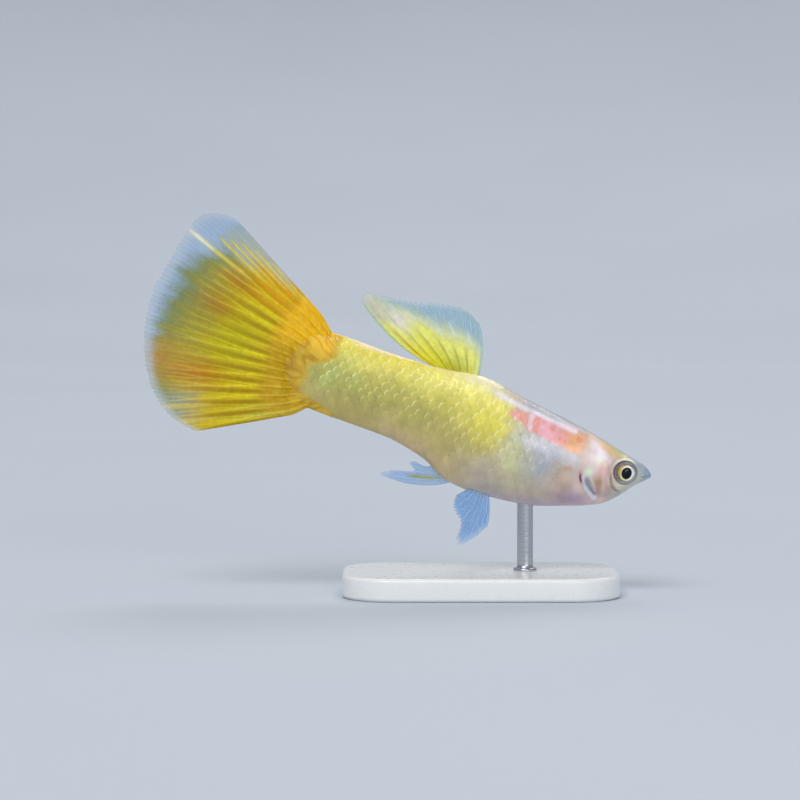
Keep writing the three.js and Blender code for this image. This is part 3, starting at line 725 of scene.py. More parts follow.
    # Snout, round the eye, lips
    lay((186, 194, 184), fade(back, 2.2, 3.3) * fade(height, 0.8, 0.95) * 0.9)
    lay((172, 184, 194), fade(back, 1.7, 2.7) * smooth(height, 0.72, 0.86) * 0.8)
    lay((156, 174, 184), fade(back, 0.4, 1.5) * 0.9)
    lay((152, 170, 200), fade(back, -0.1, 0.8) * 0.6)
    lay((142, 152, 188), fade(back, 0.2, 1.1) * smooth(height, 0.7, 0.95) * 0.6)
    radius = np.hypot(back - EYE_BACK, up - EYE_UP)
    facing = np.degrees(np.arctan2(up - EYE_UP, back - EYE_BACK))
    over = smooth(facing, 5, 45) * fade(facing, 98, 128)
    lay((210, 200, 178), bell(radius - 1.4, 0.26) * smooth(-facing, 20, 60) * 0.75)
    # Painted highlight: a bright crescent of light on the orbit's rim above the eye
    lay((255, 252, 228), bell(radius - 1.15, 0.075 + 0.035 * bell(facing - 70, 30)) * over)
    lay((158, 140, 134), bell(radius - 1.04, 0.05) * 0.3)
    groove, groove_share = near_line(*CHEEK_GROOVE)
    groove_ends = smooth(groove_share, 0.0, 0.3) * fade(groove_share, 0.7, 1)
    # Painted shade in the groove of the cheek behind the eye
    lay((138, 104, 94), bell(groove, 0.13) * groove_ends * 0.75)
    mouth, mouth_share = near_line(*MOUTH)
    lay((104, 110, 140), bell(mouth, 0.04) * smooth(mouth_share, 0.2, 0.5) * 0.35)
    # Scales: each a little lighter or darker, the upper half of its rear edge lit as a painted highlight
    # stroke
    vary = 1 + scaled[..., None] * 0.09 * (chance - 0.5)[..., None]
    coat.colour = np.clip(coat.colour * vary, 0, 1)
    glint = smooth(chance, 0.8, 0.88) * scaled
    highlight_stroke = rim * smooth(chance + 0.5 * fleck, 0.0, 0.6) * fade(height, 0.92, 0.98)
    # Painted glints: light reflected from a few scales, greenish near the tail and pale on the shoulder
    lay((214, 244, 190), glint * rim * bell(b - 28.5, 3.0) * bell(h - 0.5, 0.2))
    lay((186, 206, 130), glint * (1 - ahead) * bell(b - 28.5, 3.0) * bell(h - 0.5, 0.2) * 0.35)
    lay((222, 226, 244), glint * (1 - ahead) * bell(b - 9, 3.0) * 0.15)
    yellow_zone = smooth(b, 11.5, 14)
    rim_highlight_colour = mix(srgb(246, 244, 250), srgb(255, 250, 186), yellow_zone)
    rim_highlight_share = highlight_stroke * (0.2 + 0.8 * smooth(h, 0.22, 0.6)) * (1 - 0.6 * bar_mask)
    coat.colour = mix(coat.colour, rim_highlight_colour, np.clip(rim_highlight_share * 0.9, 0, 1))
    # Painted shade in the pocket under the rear edge of the scale ahead
    pocket_shade = smooth(ahead, 0.7, 0.98) * scaled * smooth(across, -0.6, 0.2)
    pocket_shaded = coat.colour * (1 - 0.13 * pocket_shade[..., None])
    coat.colour = np.clip(pocket_shaded * (1 + 0.26 * brushed[..., None]), 0, 1)
    specks = hashed(np.round(back / 0.07), np.round(girth / 0.07), seed=77) > 0.995
    lay((70, 66, 72), specks * bell(back - 8.5, 1.6) * bell(height - 0.55, 0.16) * 0.6)
    silver = 0.1 * bell(b - 9, 3.2) + 0.06 * scaled + 0.15 * bell(streak, 0.4)
    return coat.colour, np.clip(silver, 0, 0.4)


# Fins
def ray_crests(place, along, pitch, seed, forks, width):
    """1 on the crest of a ray and 0 between rays: each ray forks twice on its way to the margin."""
    ray = np.floor(place)
    off = place - ray - 0.5
    late = 0.12 * (hashed(ray, seed=seed) - 0.5)
    first = 0.25 * smooth(along, forks[0] + late, forks[0] + 0.26 + late)
    second = 0.125 * smooth(along, forks[1] + late, forks[1] + 0.24 + late)
    near = np.abs(np.abs(off) - first)
    near = np.abs(near - second)
    return bell(near * pitch, width * (1 - 0.45 * along)), ray


def build_fin(name, material, nodes, centre, rows, columns, rays, paint,
              seed, forks, width, root, ridge, joints, pleat, rise_from=0.02):
    """A thin closed sheet with its rays raised on both faces. centre(u, v) gives its middle surface, with u
    from root to margin and v across the rays. The pleats between the rays rise beyond `rise_from`."""
    u, v = np.meshgrid(np.linspace(0, 1, rows), np.linspace(0, 1, columns), indexing="ij")
    place = v * rays + 0.12 * sheet_cloud(u * 1.5, v * rays, seed, 1.4)
    middle = centre(u, v)
    pitch = np.linalg.norm(np.gradient(middle, axis=1), axis=-1) * (columns - 1) / rays
    crest, ray = ray_crests(place, u, pitch, seed, forks, width)
    fold = 0.5 - 0.5 * np.cos(2 * np.pi * place)
    jointed = 0.5 + 0.5 * np.sin(u * joints + 6.3 * hashed(ray, seed=seed + 1))
    thin = smooth(u, 0.05, 0.85)
    half = mix(root, 0.022, thin)
    half = half + crest * mix(ridge, 0.03, thin) * (1 - 0.2 * jointed * smooth(u, 0.25, 0.5))
    edge = np.minimum(smooth(v, 0, 0.02), smooth(1 - v, 0, 0.02)) * smooth(1 - u, 0, 0.03)
    half = half * (0.35 + 0.65 * edge)
    normal = grid_normals(middle, closed=False)
    pleats = pleat * (fold - 0.5) * smooth(u, rise_from, rise_from + 0.23) * (1 - 0.5 * smooth(u, 0.6, 1))
    middle = middle + normal * pleats[..., None]
    colours, cover = paint(u, v, middle, crest, fold, ray)
    layer = 1 - np.sqrt(1 - np.clip(cover, 0, 0.995))
    points = np.concatenate([middle + normal * half[..., None], middle - normal * half[..., None]], 0)
    world = to_world(points).reshape(-1, 3)
    count = rows * columns
    index = np.arange(count).reshape(rows, columns)
    rim = np.concatenate([index[0, :-1], index[:-1, -1], index[-1, :0:-1], index[:0:-1, 0]])
    after = np.roll(rim, -1)
    walls = np.stack([rim, rim + count, after + count, after], -1)
    front, rear = grid_faces(rows, columns), grid_faces(rows, columns, first=count)[:, ::-1]
    faces = [front, rear, walls]
    a, b, c = world[front[0, :3]]
    facing = np.dot(np.cross(b - a, c - a), to_world(points[0, 0]) - to_world(points[rows, 0]))
    if facing < 0:
        faces = flipped(faces)
    values = {"cover": np.concatenate([layer, layer]), "thin": np.concatenate([thin, thin])}
    piece = make_piece(name, world, faces, material, np.concatenate([colours, colours]), values)
    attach(piece, "root")
    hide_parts(*nodes)
    return piece


def key_rays(keys, wave=0.0):
    """The middle surface of a fin drawn by key rays in the middle plane, each as base, middle and tip."""
    keys = np.array(keys, float)

    def centre(u, v):
        start, middle, tip = (spline(keys[:, k], v) for k in range(3))
        control = 2 * middle - 0.5 * start - 0.5 * tip
        t = u[..., None]
        flat = (1 - t) ** 2 * start + 2 * t * (1 - t) * control + t**2 * tip
        side = wave * u**2 * np.sin(2 * np.pi * v)
        return np.stack([flat[..., 0], side, flat[..., 1]], -1)

    return centre


def with_fringe(centre, rays, depth, seed):
    """Pulls the margin in between the ends of the rays, unevenly."""

    def fringed(u, v):
        place = v * rays * 4
        tip = 0.5 - 0.5 * np.cos(2 * np.pi * place)
        uneven = 0.5 + hashed(np.floor(place), seed=seed)
        lobes = cloud(np.stack([v * rays, v * 0, v * 0], -1), 1.3, seed=seed)
        reach = 1 - depth * (1 - tip) * uneven - 0.6 * depth * lobes
        return centre(u * reach, v)

    return fringed


def caudal_centre(u, v):
    angle = CAUDAL_TILT + (CAUDAL_TOP - CAUDAL_FAN * v) * caudal_spread(u)
    full_angle = CAUDAL_TOP + CAUDAL_TILT - CAUDAL_FAN * v
    upper_corner, lower_corner = np.abs(1 - v) ** 22, v**9
    branch = v * CAUDAL_RAYS * 4
    tip = 0.5 - 0.5 * np.cos(2 * np.pi * branch)
    notch = 0.1 * (1 - tip) * (0.4 + hashed(np.floor(branch), seed=61))
    lobes = 0.5 * sheet_cloud(v * 9, v * 0, 63) * (1 - upper_corner - lower_corner)
    margin = 23.1 - 0.0014 * (full_angle - 17) ** 2 - 2.2 * upper_corner - 2.6 * lower_corner
    margin = margin - notch - lobes
    margin += 0.35 * bell(full_angle - 24, 4.5)
    radius = CAUDAL_ROOT + (margin - CAUDAL_ROOT) * u
    turn = np.radians(angle)
    side = 0.7 * u**2 * np.sin(v * 2.5 * np.pi + 0.6)
    back, up = CAUDAL_APEX[0] + radius * np.cos(turn), CAUDAL_APEX[1] + radius * np.sin(turn)
    return np.stack([back, side, up], -1)


# Bright ray ends along the tail fin's upper edge: angle, and the radii that they start and end at
UPPER_SHAFTS = [
    (23.6, 15.6, 21.4), (25.0, 14.8, 20.6), (26.4, 13.8, 19.6), (27.7, 12.6, 18.2), (28.9, 11.4, 16.6),
]


def paint_caudal(u, v, middle, crest, fold, ray):
    """The tail fin's colours and how far they cover the view, by radius and angle from the rays' apex."""
    back, up = middle[..., 0] - CAUDAL_APEX[0], middle[..., 2] - CAUDAL_APEX[1]
    radius, angle = np.hypot(back, up), np.degrees(np.arctan2(up, back))
    drift = sheet_cloud(radius / 3, angle / 6, 71)
    streak = sheet_cloud(radius / 10, v * CAUDAL_RAYS, 73)
    fine = sheet_cloud(radius / 7, v * CAUDAL_RAYS * 4, 75)
    r = radius + 1.4 * drift + 1.8 * streak + 1.5 * fine
    bright = 0.4 + 0.6 * hashed(ray, seed=77)
    coat = Coat((218, 188, 8), middle.shape)
    lay = coat.lay

    # Yellow rays with golden valleys, more orange along the top
    lay((252, 236, 30), fold * bright * bell(radius - 13.4, 4.6))
    lay((172, 132, 0), (1 - fold) ** 2 * bell(radius - 12.6, 4.0) * 0.75)
    lay((236, 176, 6), smooth(angle, 14, 20) * fade(r, 14.5, 17.5) * (0.9 - 0.35 * fold))
    lay((196, 196, 12), bell(angle - 2, 12) * bell(r - 15.2, 2.4) * 0.55)
    lay((164, 158, 26), smooth(r, 15.4, 18.6) * bell(angle - 8, 15) * 0.75)
    lay((198, 140, 8), bell(angle - 18.6, 3.2) * bell(radius - 16.8, 2.0) * 0.85)
    lay((196, 142, 12), bell(angle - 9.6, 3.4) * bell(radius - 17.4, 1.9) * 0.8)
    lay((216, 144, 0), bell(angle + 11.0, 3.8) * bell(r - 17.4, 2.7) * 0.95)
    lay((214, 168, 60), bell(angle + 8.2, 4.2) * smooth(r, 18.8, 20.6) * 0.9)
    low_corner = smooth(-angle, 14, 20) * smooth(r, 16.6, 19.8)
    lay((138, 150, 128), low_corner * 0.85)
    creases = tail_creases((radius - CAUDAL_ROOT) / CAUDAL_REACH, v)
    # Further out, the flesh's painted highlight and shade follow the pleats instead of the creases
    wrinkle = mix(creases, 0.55 + 0.3 * fold, 0.3 + 0.7 * smooth(radius, 9.8, 11.6))
    flesh_end = 11.7 + 1.6 * sheet_cloud(radius, v * CAUDAL_RAYS, 79, 1.6)
    flesh_end += 0.5 * (fold - 0.5)
    flesh = np.clip(tail_flesh(wrinkle, middle[..., 2]) * 1.1, 0, 1)
    coat.colour = mix(coat.colour, flesh, 1 - smooth(radius, flesh_end - 0.6, flesh_end + 0.8))
    lay((226, 226, 96), bell(angle + 24.5, 2.6) * bell(radius - 12.0, 2.6) * fold * 0.8)
    lay((246, 230, 50), crest * bright * smooth(radius, 12, 15) * fade(r, 18, 20.8) * 0.6)
    lay((240, 210, 60), crest * smooth(-angle, 12, 16) * smooth(radius, 15, 18) * 0.75)
    # Margin: clear and pale blue behind a broad teal band, with light ray ends
    edge = 22.1 - 2.0 * smooth(angle, 15, 24) + 0.3 * bell(angle + 8, 5)
    lay((122, 158, 116), bell(r - edge + 1.1, 1.7) * 0.6 * (1 - bell(angle + 8, 6)))
    clear = smooth(r, edge - 1.9, edge + 0.9)
    lay((98, 168, 222), clear)
    lay((206, 222, 232), crest * clear * 0.25)
    shafts = bell(angle - 21.0, 0.5) * smooth(radius, 15.4, 17.4)
    lay((250, 232, 96), shafts)
    lay((255, 252, 228), shafts * smooth(radius, 19.6, 21.4))
    upper_edge = smooth(angle, 22.4, 24.2) * smooth(radius, 15.4, 18.2)
    upper_edge = np.clip(upper_edge + smooth(angle, 26.4, 28.6) * smooth(radius, 12.4, 14.4), 0, 1)
    lay((150, 176, 176), upper_edge * (1 - clear) * 0.6)
    for place, start, end in UPPER_SHAFTS:
        shaft = bell(angle - place - 0.12 * (radius - start), 0.36) * smooth(radius, start - 1, start + 0.6)
        shafts = np.maximum(shafts, shaft * fade(radius, end - 1.2, end))
        lay((244, 224, 84), shaft * fade(radius, end - 1.6, end))
    lower_rays = (bell(angle + 20.4, 0.5) + bell(angle + 24.6, 0.5)) * smooth(radius, 14.5, 18)
    lay((246, 226, 110), lower_rays * 0.9)
    solid = 0.99 - 0.05 * smooth(r, 15, 19)
    open_share = np.maximum(np.maximum(clear, 0.8 * upper_edge), 0.45 * low_corner)
    cover = mix(solid, 0.42 + 0.08 * crest, open_share)
    cover = mix(cover, 0.95, np.clip(shafts + 0.7 * lower_rays, 0, 1))
    return coat.colour, cover * (1 - 0.55 * smooth(u, 0.92, 1.0))


DORSAL_KEYS = [
    [(16.75, 3.2), (17.2, 5.9), (18.2, 8.0)],
    [(17.4, 3.2), (18.3, 6.2), (19.9, 8.75)],
    [(18.1, 3.15), (19.8, 6.0), (22.3, 8.45)],
    [(18.8, 3.1), (21.3, 5.6), (24.8, 7.85)],
    [(19.4, 3.0), (22.7, 5.1), (27.1, 7.75)],
    [(19.9, 3.0), (23.6, 4.55), (28.6, 7.5)],
    [(20.2, 3.12), (24.3, 4.02), (28.6, 6.6)],
]


def paint_dorsal(u, v, middle, crest, fold, ray):
    drift = sheet_cloud(u * 3, v * 8, 81)
    streak = sheet_cloud(u * 1.5, v * 30, 83)
    reach = u + 0.16 * drift + 0.16 * streak
    bright = 0.4 + 0.6 * hashed(ray, seed=85)
    coat = Coat((228, 220, 22), middle.shape)
    lay = coat.lay

    edge = 0.25 + 0.4 * smooth(v, 0.12, 0.8)
    lay((186, 182, 8), fade(reach, 0.1, 0.36) * fade(v, 0.55, 0.85) * 0.8)
    lay((255, 246, 40), smooth(v, 0.4, 0.7) * bell(reach - 0.44, 0.34) * 0.95)
    lay((255, 255, 140), bell(reach - edge + 0.02, 0.24) * 0.95)
    lay((164, 154, 6), (1 - fold) ** 6 * fade(reach, edge - 0.15, edge + 0.15) * bright * 0.75)
    lay((232, 156, 20), bell(v - 0.88, 0.02) * bell(u - 0.36, 0.22) * 0.7)
    lay((240, 246, 214), smooth(reach, edge + 0.02, edge + 0.22) * (0.6 + 0.4 * fold))
    lay((252, 244, 240), bell(v - 0.72, 0.12) * bell(reach - 0.72, 0.12) * 0.9)
    clear = smooth(reach, edge + 0.16, edge + 0.5) * (1 - 0.75 * smooth(v, 0.62, 0.84))
    lay((112, 184, 212), clear * 0.92)
    lay((234, 230, 206), smooth(v, 0.66, 0.84) * smooth(reach, 0.66, 0.86) * 0.85)
    lay((232, 242, 240), crest * clear * bright * 0.55)
    front = 1 - smooth(v, 0.0, 0.08)
    lay((168, 214, 216), front * 0.8)
    lay((236, 236, 150), bell(v - 0.12, 0.025) * fade(u, 0.4, 0.65) * 0.8)
    rear = smooth(v, 0.94, 1.0)
    lay((178, 218, 130), rear * 0.8)
    cover = mix(0.98, 0.9, smooth(reach, edge, edge + 0.15))
    cover = mix(cover, 0.56 + 0.28 * crest * bright, clear)
    cover = mix(cover, 0.6 + 0.2 * crest, np.maximum(front, rear) * 0.6)
    return coat.colour, cover * (1 - 0.6 * smooth(u, 0.92, 1.0))


PELVIC_KEYS = [
    [(12.95, -5.6), (12.3, -7.4), (12.1, -8.8)],
    [(13.25, -5.6), (12.9, -8.3), (12.95, -10.2)],
    [(13.5, -5.6), (13.5, -8.5), (14.15, -11.35)],
    [(13.75, -5.6), (13.9, -7.7), (14.3, -9.5)],
    [(14.0, -5.6), (14.7, -7.0), (15.4, -8.2)],
    [(14.3, -5.6), (14.9, -6.5), (15.45, -7.1)],
]
PELVIC_SIDE, PELVIC_HINGE, PELVIC_SPLAY = 0.75, -5.9, math.radians(20)


def pelvic_centre(hand):
    flat = with_fringe(key_rays(PELVIC_KEYS), 6, 0.05, 5)

    def centre(u, v):
        back, _, up = np.moveaxis(flat(u, v), -1, 0)
        drop = PELVIC_HINGE - up
        side = hand * (PELVIC_SIDE + drop * math.sin(PELVIC_SPLAY))
        return np.stack([back, side, PELVIC_HINGE - drop * math.cos(PELVIC_SPLAY)], -1)

    return centre


def paint_clear(u, v, middle, crest, fold, ray):
    drift = sheet_cloud(u * 3, v * 5, 91)
    colour = mix(srgb(104, 160, 222), srgb(172, 210, 242), np.clip(0.25 + crest * 0.8 + drift * 0.6, 0, 1))
    colour = mix(colour, srgb(206, 200, 208), fade(u, 0.0, 0.22) * 0.6)
    cover = 0.56 + 0.32 * crest + 0.15 * drift
    return colour, cover * (1 - 0.45 * smooth(u, 0.88, 1.0))


ANAL_KEYS = [
    [(15.6, -5.5), (17.8, -6.8), (20.6, -7.35)],
    [(15.9, -5.4), (18.6, -6.65), (22.3, -7.25)],
    [(16.4, -5.3), (18.8, -6.3), (21.4, -6.55)],
    [(16.9, -5.2), (18.4, -5.85), (19.7, -6.1)],
    [(17.4, -5.1), (18.9, -5.55), (20.2, -5.5)],
    [(17.8, -5.0), (18.9, -5.35), (19.7, -5.2)],
]


def paint_anal(u, v, middle, crest, fold, ray):
    colour, cover = paint_clear(u, v, middle, crest, fold, ray)
    rod = bell(v - 0.3 - 0.16 * u, 0.1) * smooth(u, 0.15, 0.35) * fade(u, 0.62, 0.8)
    colour = mix(colour, srgb(186, 184, 40), rod * 0.85)
    return colour, mix(cover, 0.9, rod)


PECTORAL_ROOT = (7.15, -2.2)


def pectoral_centre(hand):
    outward, droop = math.radians(60), math.radians(20)
    length, sunk, half_width, root_half = 4.9, 0.7, 1.95, 0.62
    back, up = PECTORAL_ROOT
    middle = float(read_curve(WIDEST_HEIGHTS, back))
    share = abs((up - middle) / (float(read_curve(BELLY_LINE, back)) - middle))
    power = float(read_curve(BELLY_SQUARENESS, back))
    flank = float(read_curve(HALF_WIDTHS, back)) * (1 - share**power) ** (1 / power)
    origin = np.array([back, (flank - sunk) * hand, up])
    level = math.cos(outward)
    along = np.array([level * math.cos(droop), math.sin(outward) * hand, -level * math.sin(droop)])
    along /= np.linalg.norm(along)
    across = np.array([-0.25, 0, 1.0])
    across = across - along * np.dot(across, along)
    across /= np.linalg.norm(across)
    face = np.cross(across, along) * hand

    def centre(u, v):
        spread = 1 - 2 * v
        width = root_half + (half_width - root_half) * u**0.85
        reach = (length + sunk) * (1 - 0.28 * spread**2) * u
        cup = 0.35 * u * spread**2
        flat = origin + along * reach[..., None] + across * (spread * width)[..., None]
        return flat + face * cup[..., None]

    return centre


def paint_pectoral(u, v, middle, crest, fold, ray):
    colour = mix(srgb(232, 220, 208), srgb(250, 244, 232), crest)
    edge = 1 - smooth(v, 0.0, 0.12)
    colour = mix(colour, srgb(222, 184, 144), edge * 0.8)
    cover = (0.1 + 0.2 * crest + 0.2 * edge) * smooth(u, 0.05, 0.3)
    return colour, cover * (1 - 0.4 * smooth(u, 0.85, 1))


def build_fins():
    yellow = fin_material("yellow_fin", 0.4)
    clear = fin_material("clear_fin", 0.35)
    dorsal_centre = with_fringe(key_rays(DORSAL_KEYS, 0.35), 8, 0.02, 9)
    build_fin(
        "tail_fin", yellow, ["caudal_fin"], caudal_centre, 220, 620, CAUDAL_RAYS, paint_caudal,
        seed=7, forks=(0.36, 0.64), width=0.12, root=0.31, ridge=0.09, joints=150, pleat=0.13, rise_from=0.2,
    )
    build_fin(
        "dorsal_fin_rayed", yellow, ["dorsal_fin"], dorsal_centre, 130, 260, 8, paint_dorsal,
        seed=17, forks=(0.4, 0.7), width=0.09, root=0.16, ridge=0.08, joints=90, pleat=0.12,
    )
    build_fin(
        "anal_fin_rayed", clear, ["anal_fin"], key_rays(ANAL_KEYS), 80, 100, 6, paint_anal,
        seed=27, forks=(0.6, 0.9), width=0.08, root=0.14, ridge=0.1, joints=60, pleat=0.06,
    )
    for name, hand in (("left", 1), ("right", -1)):
        build_fin(
            f"pelvic_fin_rayed_{name}", clear, [f"pelvic_fin_{name}"],
            pelvic_centre(hand), 80, 110, 6, paint_clear,
            seed=37, forks=(0.4, 0.7), width=0.07, root=0.12, ridge=0.07, joints=60, pleat=0.06,
        )
        build_fin(
            f"pectoral_fin_rayed_{name}", clear, [f"pectoral_fin_{name}"],
            pectoral_centre(hand), 80, 130, 10, paint_pectoral,
            seed=47, forks=(0.7, 1.2), width=0.07, root=0.1, ridge=0.05, joints=30, pleat=0.04,
        )


# Eyes
PUPIL, RING = 0.5, 0.69


def eye_axes(hand):
    out = np.array([-math.sin(EYE_TURN), math.cos(EYE_TURN) * hand, 0.0])
    forward = np.array([-math.cos(EYE_TURN), -math.sin(EYE_TURN) * hand, 0.0])
    return out, forward, np.array([0.0, 0.0, 1.0])


def turned(name, hand, profile, material, around=96):
    """A round piece about the eye's axis, from (radius, height) pairs, closed at the pole and open behind."""
    out, forward, upward = eye_axes(hand)
    centre = np.array([EYE_BACK, EYE_SIDE * hand, EYE_UP])
    radius, height = np.array(profile, float).T
    angle = np.arange(around) / around * 2 * np.pi
    ring = forward * np.cos(angle)[:, None] + upward * np.sin(angle)[:, None]
    points = centre + radius[:, None, None] * ring + height[:, None, None] * out
    rows = len(profile)
    faces = capped_faces(rows, around)
    tips = [centre + out * height[0], centre + out * height[-1]]
    world = to_world(np.vstack([points.reshape(-1, 3), tips]))
    if hand > 0:
        faces = flipped(faces)
    values = {"radius": np.concatenate([np.repeat(radius, around), [0, 0]])}
    angles = np.concatenate([np.tile(angle, rows), [0, 0]])
    values["upness"], values["frontness"] = np.sin(angles), np.cos(angles)
    piece = make_piece(name, world, faces, material, None, values)
    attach(piece, "root")
    return piece


def eye_material():
    material = new_material("eye_globe")
    n = Nodes(material)
    radius, front, top = n.attribute("radius"), n.attribute("frontness"), n.attribute("upness")
    wobble = n.vary(1400, 2, -0.045, 0.045)
    oval = n.ramp(n.maths("MULTIPLY", front, front), 0, 1, -0.02, 0.045)
    pupil = n.maths("ADD", radius, oval)
    wide = n.maths("ADD", radius, wobble)
    fine = n.noise(7000, 3)
    grey = n.blend(n.ramp(fine, 0.3, 0.7), rgba(98, 92, 92), rgba(150, 142, 138))
    lines = n.ramp(n.maths("SINE", n.maths("MULTIPLY", wide, 46.0)), -1, 1, 0.0, 0.4)
    grey = n.blend(lines, grey, rgba(74, 68, 70))
    silver = n.blend(n.ramp(fine, 0.35, 0.65), rgba(232, 234, 224), rgba(255, 255, 250))
    gold_share = n.maths("MULTIPLY", n.ramp(front, 0.2, -0.7), n.ramp(pupil, PUPIL + 0.04, PUPIL + 0.12))
    silver = n.blend(gold_share, silver, rgba(206, 176, 58))
    low_gold = n.maths("MULTIPLY", n.ramp(top, -0.5, -0.9), 0.6)
    silver = n.blend(low_gold, silver, rgba(244, 232, 160))
    colour = n.blend(n.ramp(wide, RING - 0.02, RING + 0.03), silver, grey)
    colour = n.blend(n.ramp(wide, 0.95, 1.0), colour, rgba(116, 106, 102))
    colour = n.blend(n.ramp(pupil, PUPIL + 0.015, PUPIL - 0.02), colour, rgba(5, 6, 16))
    metal = n.ramp(wide, RING + 0.02, RING - 0.05, 0.05, 0.25)
    metal = n.maths("MULTIPLY", metal, n.ramp(pupil, PUPIL - 0.02, PUPIL + 0.02))
    ball = n.principled(
        {
            "Base Color": colour,
            "Metallic": metal,
            "Roughness": n.ramp(fine, 0.3, 0.7, 0.32, 0.45),
            "Specular IOR Level": 0.15,
            "Normal": n.bump(fine, 0.00001, 0.5),
        }
    )
    n.output(ball)
    return material


def cornea_material():
    material = new_material("eye_cornea")
    n = Nodes(material)
    roughness = n.vary(900, 2, 0.03, 0.07)
    gloss = n.principled({"Base Color": rgba(236, 240, 242), "Metallic": 1.0, "Roughness": roughness})
    n.through(n.maths("MULTIPLY", n.add("ShaderNodeFresnel", {"IOR": 1.38}).outputs[0], 0.45), gloss)
    return material


def build_eyes():
    globe_look, cornea_look = eye_material(), cornea_material()
    radii = np.concatenate([np.linspace(0.02, 1.0, 70), [1.015]])
    dome = 0.8 * np.sqrt(np.clip(1 - (radii / 1.06) ** 2, 0, 1))
    ring = 0.035 * bell(radii - 0.6, 0.08)
    pupil = smooth(radii, PUPIL + 0.02, PUPIL - 0.08)
    lens = 0.12 * np.sqrt(np.clip(1 - (radii / 0.52) ** 2, 0, 1))
    height = dome + ring - pupil * 0.14 + pupil * lens + 0.012 * bell(radii - 0.9, 0.05)
    globe = list(zip(radii, height)) + [(1.0, 0.1), (0.9, -0.2), (0.5, -0.45), (0.1, -0.5)]
    shell_radii = np.linspace(0.02, 1.03, 50)
    shell = 0.92 * np.sqrt(np.clip(1 - (shell_radii / 1.075) ** 2, 0, 1))
    cornea = list(zip(shell_radii, shell)) + [(1.0, 0.15), (0.6, 0.05), (0.1, 0.0)]
    for name, hand in (("left", 1), ("right", -1)):
        ball = turned(f"eye_globe_{name}", hand, globe, globe_look)
        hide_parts(f"eye_{name}")
        turned(f"eye_cornea_{name}", hand, cornea, cornea_look)


# Stand
BASE_HALF_LENGTH, BASE_HALF_WIDTH, BASE_HEIGHT, BASE_CORNER, BASE_BEVEL = 12.0, 7.5, 2.0, 4.5, 0.35
BASE_BACK, ROD_BACK, ROD_RADIUS, ROD_SEAT = 15.5, 11.4, 0.7, 1.2


def world_x(back):
    return SNOUT_X - back * math.cos(NOSE_DOWN)


def acrylic_material():
    material = new_material("stand_acrylic")
    n = Nodes(material)
    body = n.principled(
        {
            "Base Color": n.blend(n.vary(240, 4), rgba(237, 238, 236), rgba(239, 239, 238)),
            "Roughness": n.vary(1400, 3, 0.27, 0.29),
            "Coat Weight": 0.25,
            "Coat Roughness": 0.12,
        }
    )
    n.output(body)
    return material


def steel_material():
    material = new_material("brushed_steel")
    n = Nodes(material)
    stretched = n.add("ShaderNodeMapping", {"Vector": n.place(), "Scale": (1.0, 1.0, 60.0)}).outputs[0]
    brushed = n.noise(420, 4, 0.6, stretched)
    body = n.principled(
        {
            "Base Color": n.blend(brushed, rgba(168, 170, 174), rgba(206, 208, 211)),
            "Metallic": 1.0,
            "Roughness": n.ramp(brushed, 0.3, 0.7, 0.22, 0.4),
            "Normal": n.bump(brushed, 0.00001, 0.3),
        }
    )
    n.output(body)
    return material


def rounded_outline(half_length, half_width, corner, around=144):
    """Points round a rectangle with round corners, and the way out at each."""
    quarter = around // 4
    turn = np.linspace(0, math.pi / 2, quarter)
    points, ways = [], []
    for k, (x, y) in enumerate([(1, 1), (-1, 1), (-1, -1), (1, -1)]):
        angle = turn + k * math.pi / 2
        way = np.stack([np.cos(angle), np.sin(angle)], -1)
        points.append(np.array([x * (half_length - corner), y * (half_width - corner)]) + way * corner)
        ways.append(way)
    return np.concatenate(points), np.concatenate(ways)


def build_stand():
    outline, ways = rounded_outline(BASE_HALF_LENGTH, BASE_HALF_WIDTH, BASE_CORNER)
    turn = np.linspace(0, math.pi / 2, 9)
    lower = [(BASE_BEVEL * (1 - math.sin(a)), BASE_BEVEL * (1 - math.cos(a))) for a in turn]
    upper = [(inset, BASE_HEIGHT - z) for inset, z in reversed(lower)]
    profile = [(4.0, 0.0), (2.0, 0.0)] + lower + upper + [(2.0, BASE_HEIGHT), (4.0, BASE_HEIGHT)]
    rings = [np.column_stack([outline - ways * inset, np.full(len(outline), z)]) for inset, z in profile]
    points = np.concatenate(rings)
    middle = world_x(BASE_BACK)
    points[:, 0] += middle
    points = np.vstack([points, [middle, 0, 0], [middle, 0, BASE_HEIGHT]])
    faces = capped_faces(len(profile), len(outline))
    base = make_piece("stand_base_moulded", points * 0.001, faces, acrylic_material())
    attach(base, "root")
    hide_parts("stand_base")

    around = 64
    x = world_x(ROD_BACK)
    belly = float(read_curve(BELLY_LINE, ROD_BACK))
    top = float(to_world([ROD_BACK, 0, belly])[2]) * 1000 + 0.9
    foot = BASE_HEIGHT - ROD_SEAT
    collar = 0.32
    profile = [(ROD_RADIUS, foot), (ROD_RADIUS, BASE_HEIGHT - 0.02)]
    profile += [(ROD_RADIUS + collar, BASE_HEIGHT - 0.02), (ROD_RADIUS + collar, BASE_HEIGHT + 0.14)]
    profile += [(ROD_RADIUS + collar * 0.7, BASE_HEIGHT + 0.24), (ROD_RADIUS, BASE_HEIGHT + 0.28)]
    profile += [(ROD_RADIUS, z) for z in np.linspace(BASE_HEIGHT + 0.6, top, 8)]
    points = np.vstack([round_rings(profile, around, x), [x, 0, foot], [x, 0, top]])
    faces = capped_faces(len(profile), around)
    rod = make_piece("stand_rod_turned", points * 0.001, faces, steel_material())
    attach(rod, "root")
    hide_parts("stand_rod_1")


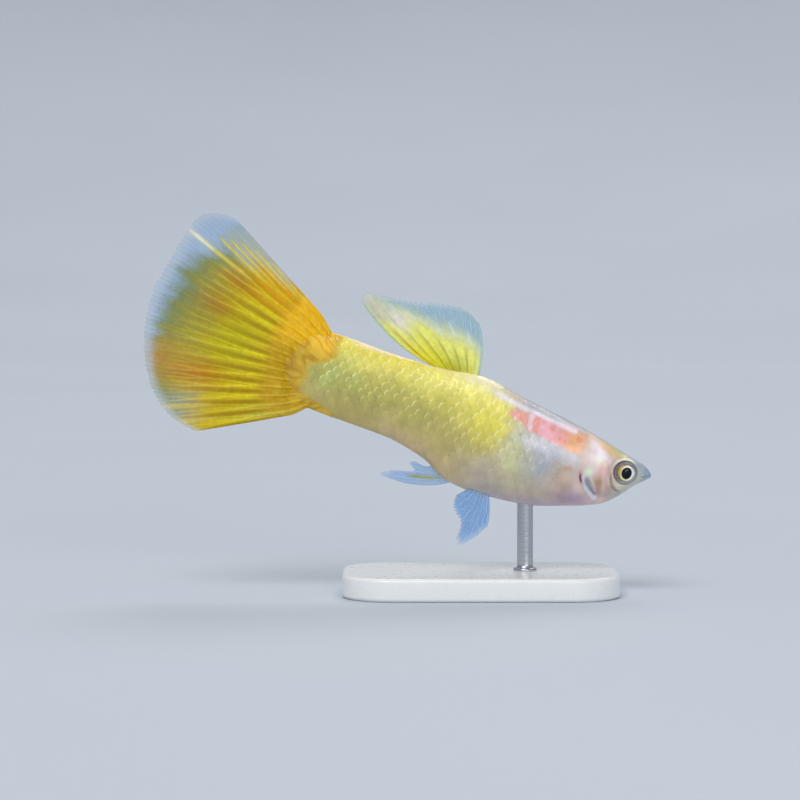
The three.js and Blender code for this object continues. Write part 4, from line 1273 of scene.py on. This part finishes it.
# Stage, lights and camera
def build_stage():
    """A pale floor that curves up into a wall all round, out of reach of any camera."""
    material = new_material("pale_floor")
    n = Nodes(material)
    shade = n.blend(n.vary(6, 2), rgba(194, 201, 210), rgba(198, 205, 214))
    n.output(n.principled({"Base Color": shade, "Roughness": 0.8}))
    flat, bend, around = 0.55, 1.7, 128
    turn = np.linspace(0, math.pi / 2, 40)
    profile = [(0.2, 0.0)] + [(flat + bend * math.sin(a), bend * (1 - math.cos(a))) for a in turn]
    points = np.vstack([round_rings(profile, around), [0, 0, 0]])
    faces = flipped(capped_faces(len(profile), around)[:2])
    floor = make_piece("floor", points, faces, material)


def add_light(name, place, aim, size, power, colour=(1, 1, 1)):
    light = bpy.data.lights.new(name, "AREA")
    light.shape = "DISK"
    light.size = size
    light.energy = power
    light.color = colour
    lamp = bpy.data.objects.new(name, light)
    bpy.context.scene.collection.objects.link(lamp)
    lamp.location = place
    aim_at(lamp, aim)


def aim_at(thing, target):
    way = np.array(target, float) - np.array(thing.location, float)
    flat = math.hypot(way[0], way[1])
    thing.rotation_euler = (math.atan2(flat, -way[2]), 0, math.atan2(-way[0], way[1]))


MIDDLE = (0.00016, 0.0, 0.01688)
FRAME_WIDTH, LENS, SENSOR, CAMERA_RISE = 0.06957, 150.0, 36.0, math.radians(3)


def light_and_look():
    add_light("key", (-0.35, -0.85, 1.15), (0, 0, 0.015), 0.8, 9.0)
    add_light("front", (0.5, -1.3, 0.25), (0, 0, 0.015), 0.9, 7.0)
    add_light("behind", (0.15, 0.8, 0.95), (0, 0, 0.015), 0.8, 4.0)
    world = bpy.data.worlds.new("studio")
    world.use_nodes = True
    background = world.node_tree.nodes.get("Background") or world.node_tree.nodes.new("ShaderNodeBackground")
    background.inputs["Color"].default_value = (0.95, 0.97, 1.0, 1.0)
    background.inputs["Strength"].default_value = 0.5
    bpy.context.scene.world = world
    lens = bpy.data.cameras.new("camera")
    lens.lens = LENS
    lens.sensor_width = SENSOR
    lens.clip_start = 0.01
    lens.clip_end = 20
    camera = bpy.data.objects.new("camera", lens)
    bpy.context.scene.collection.objects.link(camera)
    away = FRAME_WIDTH * LENS / SENSOR
    camera.location = (
        MIDDLE[0],
        MIDDLE[1] - away * math.cos(CAMERA_RISE),
        MIDDLE[2] + away * math.sin(CAMERA_RISE),
    )
    aim_at(camera, MIDDLE)
    bpy.context.scene.camera = camera
    bpy.context.scene.view_settings.view_transform = "Standard"


build_skin()
build_fins()
build_eyes()
build_stand()
build_stage()
light_and_look()

bpy.context.view_layer.update()
